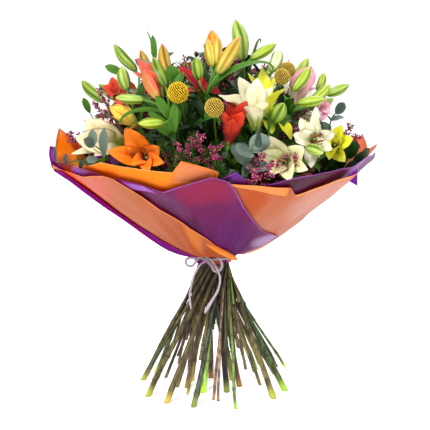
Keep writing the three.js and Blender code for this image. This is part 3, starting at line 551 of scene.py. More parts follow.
def stem_look(name, body, other, foot, patch):
    """Streaked and blotched, with painted shade that darkens it towards the tie, fresh at the cut and green above the
    neck.
    """
    look = Look(name, roughness=0.45, specular=0.35)
    streaks = look.noise(190, 4, (1, 1, 0.14))
    blotches = look.noise(70, 3, (1, 1, 0.45))
    base = look.mixed(look.spread(streaks, 0.4, 0.62), body, other)
    base = look.over(base, patch, blotches, 0.52, 0.68, 0, 0.75)
    base = look.over(base, KNOT_TINT, look.across, 0.25, 0.9, 0, 0.8)
    low = look.node("ShaderNodeSeparateXYZ", {"Vector": look.place()}).outputs["Z"]
    # Painted shade: the colour darkens from 3 cm to 19 cm above the table, towards the tie, where the stems stand
    # packed in shade under the bowl.
    depth = look.spread(low, 0.03, 0.19, 1.0, 0.34)
    # Each stem's tone makes it lighter or darker: partly the stems' own colours, partly painted shade between them.
    shade = look.times(depth, look.plus(look.times(look.tone, 1.5), 0.3))
    base = look.darkened(base, shade)
    fresh = look.times(look.spread(look.along, 0.0, 0.04, 0.8, 0), look.spread(low, 0.02, 0.05, 1, 0))
    base = look.mixed(fresh, base, foot)
    base = look.over(base, UPPER_TINT, low, 0.21, 0.25)
    return look.finish(base, bump=streaks, depth=0.9)


def toned_look(name, dark, light, tip, roughness=0.6, low=0.1, high=0.9):
    """A small part whose colour follows its tone, and turns to another one at its end."""
    look = Look(name, roughness=roughness, specular=0.3)
    base = look.mixed(look.tone, dark, light)
    base = look.over(base, tip, look.along, low, high)
    return look.finish(base, light_through=0.12)


# For each bloom, a name for its material and the tints that petal_look takes.
PETAL_TINTS = {
    "coral": ("coral", "c8b050", "f4775c", "ee5a48", "d84a30"),
    "scarlet": ("scarlet", "e07040", "f4553c", "ee4430", "d03420"),
    "yellow": ("yellow", "b8d030", "fcf840", "fcfc74", "d0dc38", 0.35),
    "pink": ("pink", "e8d0b8", "fcb8cc", "f8a4c0", "e87ca0"),
    "pink_side": ("light pink", "d8d49a", "f3c3cf", "e98fb0", "d66f96"),
    "white": ("ivory", "aebc50", "f4eccc", "f8f2e0", "c6cc80"),
    "white_open": ("white", "b4ba54", "f6f0d8", "faf6e8", "ccd08c"),
    "cream": ("cream", "a4b83c", "f6f0c0", "fcf6e4", "b8c450", 0.8),
    "orange": ("orange", "a82404", "ff9010", "ff9824", "f06c04"),
    "yellow_right": ("lemon", "98ac20", "f4f030", "f8f668", "b4c424", 0.4),
    "red": ("red", "a01810", "ee4424", "f8603c", "b8200f"),
    "white_left": ("greenish white", "98a038", "f6ecc8", "fcf6e4", "c4bc54"),
    "yellow_left": ("old yellow", "94b030", "f8e458", "f4b860", "e86c38", 0.9),
    "crimson": ("crimson", "7c1418", "dc2030", "ec4048", "9c1420"),
    "rose": ("rose", "d8cc9a", "e889ac", "dd6a98", "c24a7c"),
    "tangerine": ("tangerine", "efcf3a", "f58a1c", "f06e10", "d85c10"),
    "white_back": ("soft white", "b9c070", "f3efe2", "faf7f0", "cdd298"),
}
PETALS = {key: petal_look("petal " + name, *tints) for key, (name, *tints) in PETAL_TINTS.items()}
BUD_TINTS = {
    "coral": ("98a83c", "e8603c", "e04c30", "7c8828", "f89478"),
    "amber": ("7c8c24", "b08c28", "b87a20", "5c3810", "d0b44c"),
    "green": ("4c6c14", "6a8a18", "88a02c", "2c420a", "a4b84c"),
    "light_green": ("688c20", "8ea838", "acc060", "42601a", "c4d480"),
    "lime": ("6c8c18", "92ac24", "b0c048", "4a6a10", "c8d464"),
    "whitish": ("8cac3c", "ccd898", "dce4bc", "8ca044", "eef0d4"),
    "apricot": ("e0982c", "f08c18", "f8840c", "b85c10", "f8b040"),
    "olive": ("809828", "c0a838", "cc9430", "98702c", "dcc868"),
}
BUDS = {key: bud_look("bud " + key.replace("_", " "), *tints) for key, tints in BUD_TINTS.items()}
LEAF = leaf_look("leaf", "2f6c08", "64981c", "1c4804")
LEAF_UNDER = leaf_look("leaf underside", "44741c", "6a9434", "305810", under=True)
DARK_LEAF = leaf_look("leaf in shade", "1a3c10", "2c5618", "10280a")
GREY_LEAF = leaf_look("round leaf", "4c6054", "84988a", "3a4c42")
GREY_UNDER = leaf_look("round leaf underside", "66786c", "92a496", "54665a", under=True)
STEM_TINTS = {
    "olive": ("6e6430", "40361a", "b8c03c", "2c2010"),
    "mauve": ("8c6c58", "4c342a", "a87c34", "5c4c28"),
    "dark green": ("34402a", "12160e", "90a038", "100e08"),
    "fresh green": ("84aa40", "54782a", "bce828", "80803c"),
    "green": ("587a28", "304a18", "a8dc30", "4c4020"),
    "ochre": ("a08c44", "645028", "d8c050", "4c5c1c"),
}
STEMS = [stem_look("stem " + name, *tints) for name, tints in STEM_TINTS.items()]
THIN_STEM = stem_look("thin stem", "544a2a", "343c20", "8c7a40", "2a2216")
CUT_END = toned_look("cut end", "c9d38a", "e2e6b0", "d4dc9c", roughness=0.8)
ANTHER = toned_look("anther", "5a2c18", "8c4a20", "6a3418", roughness=0.9)
FILAMENT = toned_look("filament", "c9d080", "e8e6b0", "f0ecc8")
PISTIL = toned_look("pistil", "b4c46a", "c9d080", "8a9a4c")
HEATHER_BELL = toned_look("heather bell", "640c38", "b8286c", "cc5c94", low=0.6, high=1.0)
HEATHER_GOLD = toned_look("heather gold", "8c4420", "b87040", "c88c58")
TWIG = toned_look("twig", "3c2a1c", "5c4028", "4a3622", roughness=0.8)
NEEDLE = toned_look("needle", "1f3a16", "4f7a2e", "7fa04a", roughness=0.5, low=0.6, high=1.0)
CRASPEDIA_BEAD = toned_look("craspedia bead", "8a6408", "a87c0c", "f2c81c", roughness=0.8, low=0.35, high=0.95)
CRASPEDIA_DULL = toned_look("craspedia dull bead", "7a5c14", "97771f", "dcbc50", roughness=0.85, low=0.35, high=0.95)
CRASPEDIA_CORE = toned_look("craspedia core", "4a380a", "5c460c", "54400c", roughness=0.9)

# The streaks give the film's relief and also carry its painted sheen.
STREAKS_ROUND, STREAKS_ALONG = 46, 2.2  # cells of the film's wrinkles, round the bowl and up it


def film_look(name, body, sheen, edge, deep, through, zones=(), gloss=0.28, clear=0.2):
    """Frosted film. Its marks are the distance from the axis, the distance from an edge and the place round the bowl.

    A zone is a patch of another colour: where another sheet shows through, painted shade where the film lies in the
    shadow of other sheets and of the flowers, and painted highlight where the film is bent to the light: (degrees,
    millimetres from the axis, half its width in degrees and in millimetres, colour, share). A share of 1 also tints
    the light that comes through. The paler sheen along the streaks and the bright line along each edge are painted
    highlights.
    """
    look = Look(name, roughness=0.34, specular=gloss)
    x = look.times(look.tone, STREAKS_ROUND)
    y = look.times(look.along, STREAKS_ALONG)
    place = look.node("ShaderNodeCombineXYZ", {0: x, 1: y}).outputs[0]
    streaks = look.node("ShaderNodeTexNoise", {"Vector": place, "Scale": 1.0, "Detail": 3.0}).outputs["Fac"]
    base = look.ramp(look.along, [(0.0, deep), (0.3, deep), (0.6, body), (1.0, body)])
    glow = colour(through)
    for degrees, distance, wide, deep_zone, tint, share in zones:
        across = look.math("DIVIDE", look.math("SUBTRACT", look.tone, degrees / 360), wide / 360)
        out = look.math("DIVIDE", look.math("SUBTRACT", look.along, distance / FILM_REACH), deep_zone / FILM_REACH)
        far = look.plus(look.times(across, across), look.times(out, out))
        base = look.over(base, tint, far, 0.0, 1.0, share, 0)
        if share == 1:
            glow = look.over(glow, tint, far, 0.3, 1.0, 1, 0)
    # Painted sheen: a paler colour along the streaks.
    base = look.over(base, sheen, streaks, 0.45, 0.75, 0, 0.3)
    # Painted highlight: a bright line along each edge.
    base = look.mixed(look.spread(look.across, 0.07, 0.16), edge, base)
    return look.finish(base, bump=streaks, depth=2.5, light_through=0.4, through=glow, see_through=clear)


FILMS = {
    "film_orange_front": film_look(
        "film salmon", "d07c4e", "e0a080", "ffa040", "b8602c", "e8884c",
        [
            # The narrow bright orange zone at -103 degrees is a painted highlight along the sheet's right edge.
            (-146, 228, 22, 44, "ee8070", 0.95), (-145, 190, 4, 110, "ff6410", 1), (-114, 130, 9, 60, "b85828", 0.6),
            (-103, 126, 6, 50, "f09444", 0.9), (-152, 160, 5, 80, "980c60", 1),
        ],
        gloss=0.12,
    ),
    "film_purple_front": film_look(
        "film purple over orange", "7a1060", "8e2c88", "b868d0", "5c1468", "a0207c",
        [
            # The dark maroon zones at -119, -112 and -102 degrees are painted shadow that the orange front sheet
            # casts along its right edge; the paler zone at -108 degrees is a painted highlight on a ridge, and the
            # pale lavender one at -46 degrees is painted sheen.
            (-92, 200, 18, 34, "ac1e50", 0.95), (-119, 205, 8, 34, "4c0614", 0.95), (-112, 166, 8, 32, "4e0a28", 0.9),
            (-102, 130, 8, 30, "42103c", 0.8), (-108, 186, 5, 44, "742470", 0.6), (-76, 118, 16, 40, "6a1870", 0.9),
            (-46, 112, 16, 20, "d0a8dc", 0.85), (-145, 246, 9, 22, "a058c8", 1),
        ],
    ),
    "film_orange_right": film_look(
        "film orange to the right", "cc7440", "e0a088", "f89448", "d08058", "e88c50",
        [
            # The pale pink zone at -40 degrees is partly the film's paler colour and partly painted sheen.
            (-76, 192, 16, 40, "cc5a18", 0.95), (-40, 196, 18, 70, "e2a896", 0.95), (-58, 140, 16, 30, "cc8468", 0.8),
            (-52, 118, 14, 14, "e8641c", 0.9),
        ],
    ),
    "film_purple_right": film_look(
        "film purple in shade", "6c1058", "8c3090", "b858c8", "601a50", "8c2c7c",
        [(-54, 226, 24, 40, "50082c", 1), (-26, 240, 14, 22, "a030b4", 1), (-83, 230, 9, 26, "7030a0", 1)],
    ),
    "film_orange_back": film_look("film orange behind", "e89060", "f2b898", "f4a070", "d07840", "f09050"),
    "film_purple_left": film_look(
        "film lavender", "84188c", "a050b4", "b028b0", "7c247c", "8c1c98",
        [(209, 180, 14, 150, "900460", 1), (172, 242, 16, 14, "8c0c50", 0.9), (168, 258, 8, 12, "b048d0", 1)],
        gloss=0.0, clear=0.0,
    ),
    "film_orange_inside": film_look(
        "film bright orange", "ff9428", "ffa850", "ffb468", "f07818", "ff9434",
        [
            # The dark red zone at 152 degrees is painted shade where the flowers shade this wall.
            (152, 226, 13, 34, "b41c0c", 1), (165, 242, 7, 16, "fc8414", 1), (160, 262, 9, 14, "ffb478", 1),
            (180, 226, 15, 18, "98104c", 1), (240, 186, 24, 16, "e87820", 0.7),
        ],
        gloss=0.0, clear=0.0,
    ),
}
FLAP_LOOKS = [
    film_look("film flap orange", "e89c60", "f4b888", "ffa858", "e08a4c", "f0a060"),
    film_look("film flap lavender", "b074cc", "c898dc", "c028b8", "a860c0", "b878d0"),
    film_look("film corner purple", "7818a0", "9438b8", "b050cc", "7818a0", "8c28b0"),
]
RAFFIA_LOOK = Look("raffia", roughness=0.6, specular=0.3)
RAFFIA_LOOK = RAFFIA_LOOK.finish(
    RAFFIA_LOOK.ramp(RAFFIA_LOOK.marked_noise(3, 8, 3), [(0.3, "8c7888"), (0.5, "b8a8b4"), (0.7, "d8ccd4")]),
    light_through=0.2,
)

# ---------------------------------------------------------------- the plants and where their heads are

# ring is the ring in which the stem is tied, and top is where it divides or carries its head.
# A bud is [base, tip, thickness, look]. A leaf is [place along the upper stem from 0 to 1, tip, width].
LILIES = [
    dict(
        name="coral_lily", ring=3, top=[-58, -144, 430], blooms=["coral"],
        buds=[
            [[-62, -122, 482], [-72, -92, 530], 17, "amber"], [[-66, -140, 472], [-84, -112, 512], 15, "green"],
            [[-76, -154, 456], [-97, -128, 496], 17, "coral"],
            [[-96, -146, 454], [-136, -136, 457], 14, "light_green"],
            [[-68, -172, 425], [-102, -180, 425], 15, "lime"],
        ],
        leaves=[[0.97, [-128, -166, 422], 12], [0.9, [-120, -128, 448], 14], [0.94, [-40, -128, 486], 16]],
    ),
    dict(
        name="scarlet_lily", ring=3, top=[-114, -78, 412], blooms=["scarlet"],
        buds=[
            [[-110, -72, 490], [-144, -46, 527], 15, "green"],
            [[-122, -102, 464], [-130, -90, 498], 18, "light_green"],
            [[-156, -76, 446], [-192, -42, 474], 16, "green"],
        ],
        leaves=[[0.96, [-172, -62, 414], 13], [0.9, [-96, -40, 470], 14], [0.84, [-146, -30, 428], 13]],
    ),
    dict(
        name="apricot_lily", ring=1, top=[-9, -122, 456], blooms=[],
        buds=[
            [[-19, -142, 482], [-23, -132, 513], 17, "green"], [[3, -108, 500], [-1, -86, 549], 22, "apricot"],
            [[7, -132, 490], [39, -94, 540], 19, "olive"], [[-1, -124, 499], [-7, -104, 537], 16, "olive"],
            [[5, -122, 502], [7, -104, 540], 15, "olive"],
        ],
        leaves=[[0.98, [86, -106, 492], 15], [0.92, [-40, -152, 466], 10]],
    ),
    dict(
        name="green_lily", ring=1, top=[44, -60, 452], blooms=[],
        buds=[
            [[43, -50, 503], [33, -36, 563], 23, "light_green"], [[54, -84, 508], [91, -66, 529], 15, "lime"],
            [[84, -84, 490], [96, -62, 522], 18, "whitish"],
        ],
        leaves=[[0.97, [68, -78, 530], 9], [0.9, [84, -40, 486], 13]],
    ),
    dict(
        name="yellow_lily", ring=1, top=[62, -96, 420], blooms=["yellow"], buds=[],
        leaves=[[0.86, [34, -114, 408], 12]],
    ),
    dict(
        name="pink_lily", ring=3, top=[108, -96, 430], blooms=["pink", "pink_side"],
        buds=[
            [[114, -106, 464], [139, -86, 497], 16, "lime"], [[152, -58, 460], [162, -47, 486], 12, "lime"],
            [[138, -96, 446], [169, -74, 471], 15, "lime"], [[166, -44, 454], [200, -38, 468], 15, "light_green"],
            [[119, -124, 448], [158, -126, 454], 15, "lime"],
        ],
        leaves=[[0.95, [100, -142, 452], 15]],
    ),
    dict(
        name="white_lily_centre", ring=1, top=[74, -146, 386], blooms=["white"],
        buds=[[[82, -164, 426], [98, -172, 452], 20, "green"]],
        leaves=[[0.95, [74, -180, 432], 10]],
    ),
    dict(
        name="white_lily_right", ring=3, top=[98, -118, 356], blooms=["white_open", "cream"],
        buds=[[[129, -168, 391], [152, -181, 384], 16, "light_green"]],
        leaves=[[0.92, [150, -140, 352], 14]],
    ),
    dict(
        name="orange_lily", ring=3, top=[-70, -122, 350], blooms=["orange"], buds=[],
        leaves=[[0.9, [-118, -148, 350], 13], [0.86, [-62, -156, 332], 11]],
    ),
    dict(
        name="yellow_lily_right", ring=3, top=[140, -66, 352], blooms=["yellow_right"], buds=[],
        leaves=[[0.9, [142, -128, 350], 12], [0.9, [186, -40, 372], 13]],
    ),
    dict(
        name="red_lily", ring=1, top=[22, -134, 358], blooms=["red"], buds=[],
        leaves=[[0.94, [4, -180, 372], 12]],
    ),
    dict(
        name="white_lily_left", ring=3, top=[-112, -98, 360], blooms=["white_left", "yellow_left"], buds=[],
        leaves=[[0.94, [-160, -130, 362], 14]],
    ),
    dict(
        name="crimson_lily", ring=1, top=[-34, -86, 404], blooms=["crimson"], buds=[],
        leaves=[[0.94, [-58, -74, 470], 14], [0.84, [-62, -92, 400], 12]],
    ),
    dict(
        name="pink_lily_back", ring=1, top=[34, 64, 430], blooms=["rose"],
        buds=[[[30, 66, 500], [42, 84, 542], 15, "green"], [[76, 96, 468], [104, 116, 500], 15, "light_green"]],
        leaves=[[0.95, [0, 80, 480], 14], [0.9, [80, 60, 470], 14]],
    ),
    dict(
        name="orange_lily_back", ring=3, top=[-88, 66, 400], blooms=["tangerine"],
        buds=[[[-92, 62, 472], [-112, 74, 514], 16, "amber"], [[-140, 44, 438], [-176, 60, 462], 15, "green"]],
        leaves=[[0.94, [-150, 84, 404], 14], [0.9, [-60, 110, 430], 14]],
    ),
    dict(
        name="white_lily_back", ring=3, top=[104, 62, 396], blooms=["white_back"],
        buds=[[[120, 30, 466], [144, 26, 504], 16, "lime"], [[150, 50, 424], [186, 62, 440], 15, "green"]],
        leaves=[[0.94, [160, 90, 400], 14], [0.9, [86, 112, 400], 14]],
    ),
]

CRASPEDIA = [
    dict(name="craspedia_1", ring=2, top=[-48, -164, 466], radius=15),
    dict(name="craspedia_2", ring=2, top=[2, -184, 447], radius=13.5),
    dict(name="craspedia_3", ring=2, top=[98, -105, 484], radius=12),
    dict(name="craspedia_4", ring=2, top=[107, -77, 492], radius=12),
    dict(name="craspedia_5", ring=0, top=[-40, 100, 480], radius=14.5),
]

# tips are where the flowering or needled twigs of a spray end.
SPRAYS = [
    dict(name="heather_left_top", ring=3, top=[-124, -118, 404], tips=[[-164, -104, 468], [-174, -70, 446]]),
    dict(name="heather_left", ring=3, top=[-152, -46, 366], tips=[[-216, -26, 396], [-214, -58, 398]]),
    dict(name="heather_top", ring=2, top=[0, -68, 430], tips=[[-42, -72, 514], [28, -96, 508]]),
    dict(
        name="heather_centre", ring=2, top=[-14, -130, 358],
        tips=[[-46, -200, 400], [-20, -206, 416], [4, -210, 396]],
    ),
    dict(
        name="heather_front", ring=2, top=[60, -142, 324],
        tips=[[82, -212, 374], [58, -220, 366], [66, -206, 388], [94, -198, 380], [116, -184, 376]],
    ),
    dict(name="heather_right", ring=3, top=[156, -26, 366], tips=[[206, -44, 410], [222, -30, 394]]),
    dict(name="heather_back", ring=2, top=[-30, 112, 398], tips=[[-64, 158, 446], [-14, 168, 446], [-34, 176, 410]]),
    dict(
        name="needled_greens", ring=2, top=[-30, -132, 332],
        tips=[
            [-56, -186, 358], [-26, -204, 374], [8, -204, 370], [-70, -178, 396], [-44, -196, 384], [20, -208, 352],
        ],
    ),
]

# seen is where the leaves of a twig show in the picture: the root and the tip of each, and its width in millimetres.
EUCALYPTUS = [
    dict(
        name="eucalyptus_left", ring=3, top=[-126, -124, 352], tip=[-166, -168, 394], leaf=SMALL_LEAF,
        seen=[
            ((93, 147, -166), (92, 129.5, -170), 13), ((104, 157, -156), (104.5, 128, -164), 13),
            ((97, 160, -158), (86, 159, -166), 10), ((88, 168, -150), (90, 158, -160), 8),
            ((100, 166, -150), (88, 171, -162), 9), ((108, 165, -146), (112, 175, -160), 11),
            ((80, 170, -140), (82, 160, -150), 7), ((66, 164, -100), (66.5, 153, -106), 6),
            ((55, 161, -60), (54.5, 146, -66), 5),
        ],
    ),
    dict(name="eucalyptus_centre", ring=3, top=[38, -138, 332], tip=[57, -202, 400], leaf=ROUND_LEAF),
    dict(name="eucalyptus_right", ring=3, top=[164, 12, 360], tip=[186, -2, 424], leaf=SMALL_LEAF),
    dict(name="gum_top", ring=3, top=[-96, -6, 430], tip=[-90, -46, 516], leaf=GUM_LEAF),
]
PLANTS = LILIES + CRASPEDIA + SPRAYS + EUCALYPTUS

PETAL_SLOTS = {
    "coral": "coral", "scarlet": "coral", "yellow": "yellow", "yellow_right": "yellow", "yellow_left": "yellow",
    "pink": "pink", "pink_side": "pink", "rose": "pink", "white": "white", "white_open": "white",
    "white_back": "white", "cream": "cream", "white_left": "cream", "orange": "orange", "tangerine": "orange",
    "red": "red", "crimson": "red",
}

# ---------------------------------------------------------------- the spiral of stems


def tied_places():
    """Puts the plants of each ring round the neck in the order of their heads, so that no two stems cross."""
    places = {}
    for ring, radius in enumerate(RING_RADII):
        heads = [(math.atan2(p["top"][1], p["top"][0]), p["name"]) for p in PLANTS if p["ring"] == ring]
        heads.sort()
        step = 2 * math.pi / len(heads)
        lean_x = sum(math.cos(angle - i * step) for i, (angle, _) in enumerate(heads))
        lean_y = sum(math.sin(angle - i * step) for i, (angle, _) in enumerate(heads))
        start = math.atan2(lean_y, lean_x) - math.radians(RING_LAGS[ring])
        for i, (_, name) in enumerate(heads):
            a = start + i * step
            places[name] = np.array([radius * math.cos(a), radius * math.sin(a), NECK_Z])
    return places


def below(place, z):
    """Where a tied stem is at a height below the neck: it runs straight, and leans round the axis."""
    turn = SPIRAL_PER_MM * (z - NECK_Z)
    return np.array([place[0] - place[1] * turn, place[1] + place[0] * turn, z])


def upper_curve(place, top):
    """The bezier points of a stem from the neck to its top, and the way it points there."""
    rise = unit(place - below(place, 0))
    lean = unit(top - np.array([0, 0, FAN_CENTRE_Z]))
    far = np.linalg.norm(top - place)
    return (place, place + rise * 0.3 * far, top - lean * 0.35 * far, top), lean


LOWER_POINTS, UPPER_POINTS = 9, 15  # on a stem's line, below and above the neck


def stem_line(place, top, foot_z):
    curve, lean = upper_curve(place, top)
    foot = below(place, foot_z)
    straight = foot + (place - foot) * np.linspace(0, 1, LOWER_POINTS, endpoint=False)[:, None]
    return np.concatenate([straight, bezier(*curve, np.linspace(0, 1, UPPER_POINTS))]), curve, lean


# ---------------------------------------------------------------- buds, blooms and leaves


def stalk_line(top, lean, base, faces):
    """The line of the short stalk from a stem's top to a head."""
    start = top - lean * 4
    start = start + unit(base - start) * 1.2
    far = np.linalg.norm(base - start)
    return bezier(start, start + lean * 0.4 * far, base - faces * 0.35 * far, base, np.linspace(0, 1, 8))


BUD_STATIONS = [0, 0.03, 0.1, 0.22, 0.5, 0.72, 0.88, 0.96, 1]
BUD_RADII = [0.2, 0.42, 0.66, 0.86, 1, 0.86, 0.52, 0.26, 0.07]
BUD_COLUMNS = 24


def bud_solid(shape, base, tip, thick, look, seed, bow=0.05):
    """A closed bud: three outer petals with a groove between each two, and a rib down each."""
    base, tip = np.asarray(base, float), np.asarray(tip, float)
    far = np.linalg.norm(tip - base)
    t = np.linspace(0, 1, 20)
    out = unit(np.array([base[0], base[1], 0]) + 1e-3)
    line = base + (tip - base) * t[:, None] + out * (bow * far * np.sin(np.pi * t) ** 2)[:, None]
    radii = thick / 2 * curve_through(BUD_STATIONS, BUD_RADII, t)
    a = np.arange(BUD_COLUMNS) * 2 * np.pi / BUD_COLUMNS
    turn = 0.25 * t[:, None] + seed * 6.28
    lobe = np.abs(((a[None] + turn) * 3 / (2 * np.pi)) % 1 - 0.5) * 2
    depth = np.sin(np.pi * np.clip(t, 0.03, 0.97))[:, None] ** 0.5
    table = radii[:, None] * (1.02 - depth * (0.2 * smooth(lobe, 0.72, 1.0) + 0.05 * smooth(lobe, 0.16, 0.0)))
    tube(shape, line, table, BUD_COLUMNS, tone=seed, look=look, across=lobe)


# start and end are a petal's angles from the bloom's axis at its foot and its tip, and width is a share of its
# length.
SHAPES = {
    "trumpet": dict(start=36, end=92, bend=1.5, width=0.38),
    "star": dict(start=50, end=104, bend=1.2, width=0.42),
}
PETAL_STATIONS = [0, 0.1, 0.3, 0.57, 0.8, 0.93, 1]
PETAL_WIDTHS = [0.24, 0.46, 0.84, 1, 0.7, 0.32, 0.03]
PETAL_CUP = 0.12
OUTER_WIDTH = 0.76  # of the three outer petals, as a share of the inner ones
ROOT = 1.5  # how far along the axis a petal starts
HUB_RADII = [1.6, 2.2, 2.9, 3.3, 3.1, 2.4, 0.8]
STAMENS = 6
STYLE_REACH = 0.62  # the style's length, as a share of the petals'
FULL_BLOOM = 58  # the length of the petals where the next two measures hold
STAMEN_SPREAD = 13
ANTHER_LENGTH = 8
ANTHER_RADII = [0.3, 1.0, 1.25, 1.3, 1.25, 1.0, 0.3]
STYLE_RADII = [0.9, 0.8, 0.8, 0.75, 0.8, 0.9, 1.3, 1.5]
LARGE_ANTHER_RADII = [0.7, 1.3, 1.4, 1.4, 1.3, 0.7]


def petal_line(kind, length, rows, curl):
    """The line down the middle of a petal, as distances out from and along the bloom's axis, and its angle."""
    s = np.linspace(0, 1, 8 * rows + 1)
    middle = (s[1:] + s[:-1]) / 2
    angle = np.radians(mix(kind["start"], kind["end"] + curl, middle ** kind["bend"]))
    out = np.concatenate([[0], np.cumsum(np.sin(angle))]) * length * s[1]
    along = ROOT + np.concatenate([[0], np.cumsum(np.cos(angle))]) * length * s[1]
    u = np.linspace(0, 1, rows)
    angle_at = np.radians(mix(kind["start"], kind["end"] + curl, u ** kind["bend"]))
    return np.interp(u, s, out), np.interp(u, s, along), angle_at


def petal(shape, foot, frame_axes, kind, length, width, turn, seed):
    axis, s, n = frame_axes
    rows = 18
    curl = 14 * (chance(seed, 3) - 0.5)
    out, along, angle = petal_line(kind, length * mix(0.96, 1.03, chance(seed, 4)), rows, curl)
    away = around(s, n, turn + 0.16 * (chance(seed, 5) - 0.5))
    line = foot + axis * along[:, None] + away * out[:, None]
    upper = axis * np.sin(angle)[:, None] - away * np.cos(angle)[:, None]
    u = np.linspace(0, 1, rows)
    side = np.cross(upper, directions(line))
    sway = 0.05 * length * (chance(seed, 6) - 0.5)
    line = line + side * (sway * np.sin(np.pi * u) ** 2)[:, None]
    widths = width * curve_through(PETAL_STATIONS, PETAL_WIDTHS, u)
    cup = PETAL_CUP * (1.4 - 1.3 * smooth(u, 0.55, 1.0))
    blade(shape, line, upper, widths, PETAL_THICK, cup=cup, columns=11, ruffle=0.06, waves=2.6, tone=chance(seed, 7))


def petal_to(shape, foot, axis, tip, width, seed, recurve, ruffle):
    """A petal that leaves its foot along the bloom's axis and arches out to a given tip."""
    reach = tip - foot
    height = np.dot(reach, axis)
    away = unit(reach - axis * height + 1e-6)
    far = np.linalg.norm(reach)
    end = math.atan2(np.dot(reach, away), height) + recurve
    finish = around(axis, away, end)
    u = np.linspace(0, 1, 22)
    line = bezier(foot, foot + axis * 0.38 * far + away * 0.08 * far, tip - finish * 0.34 * far, tip, u)
    along = directions(line)
    upper = axis * (along @ away)[:, None] - away * (along @ axis)[:, None]
    side = np.cross(upper, along)
    line = line + side * (0.06 * far * (chance(seed, 6) - 0.5) * np.sin(np.pi * u) ** 2)[:, None]
    blade(
        shape, line, upper, width * curve_through(PETAL_STATIONS, PETAL_WIDTHS, u), PETAL_THICK,
        cup=0.2 * (1 - smooth(u, 0.5, 1.0)) + 0.02, columns=13, ruffle=ruffle, waves=2.3 + chance(seed, 8),
        rib=0.07, tone=chance(seed, 7),
    )


def axes_of(axis):
    return axis, *sides(axis)


def add_hub(shape, foot, axis, low, high):
    tube(shape, foot + axis * np.linspace(low, high, len(HUB_RADII))[:, None], HUB_RADII, 12, look=4)


def add_stamens(shape, foot, frame_axes, length, seed):
    axis, s, n = frame_axes
    u = np.linspace(0, 1, 8)
    for i in range(STAMENS):
        away = around(s, n, 2 * math.pi / STAMENS * (i + 0.5))
        tip = foot + axis * (length * (STYLE_REACH - 0.12)) + away * (STAMEN_SPREAD * length / FULL_BLOOM)
        start = foot + axis * 4 + away * 1.2
        line = bezier(start, start + axis * length * 0.2, tip - (axis + away * 0.6) * length * 0.12, tip, u)
        tube(shape, line, np.linspace(0.5, 0.35, 8), 5, look=1)
        across = unit(np.cross(axis, away)) * 0.75 + away * 0.65
        places_along = np.linspace(-0.5, 0.5, len(ANTHER_RADII)) * ANTHER_LENGTH
        pod = tip + unit(across) * places_along[:, None] * length / FULL_BLOOM
        tube(shape, pod, ANTHER_RADII, 7, tone=chance(seed, 20 + i), look=2)
    style = foot + axis * np.linspace(4, length * (STYLE_REACH + 0.02), 8)[:, None] + s * (u**2 * 4)[:, None]
    tube(shape, style, STYLE_RADII, 7, look=3)


def plain_bloom(shape, told, seed):
    """Looks: 0 petals, 1 filament, 2 anther, 3 pistil, 4 green hub."""
    kind = SHAPES[told["shape"]]
    foot, length = np.asarray(told["base"], float), told["length"]
    frame_axes = axes_of(unit(told["faces"]))
    add_hub(shape, foot, frame_axes[0], -0.2, 8)
    for i in range(6):
        inner = i % 2 == 0
        width = length * kind["width"] * (1.1 if inner else OUTER_WIDTH * 1.1)
        petal(shape, foot, frame_axes, kind, length * (0.95 if inner else 1), width, math.pi / 3 * i, seed * 7 + i)
    add_stamens(shape, foot, frame_axes, length, seed)
    return foot, frame_axes[0]


# The blooms on the back: the foot, the way it faces, the shape and the length of the petals.
PLAIN_BLOOMS = {
    "rose": dict(base=[36, 112, 452], faces=[0.15, 0.6, 0.78], shape="trumpet", length=62),
    "tangerine": dict(base=[-112, 104, 420], faces=[-0.5, 0.72, 0.45], shape="star", length=58),
    "white_back": dict(base=[122, 98, 412], faces=[0.5, 0.72, 0.45], shape="trumpet", length=60),
}

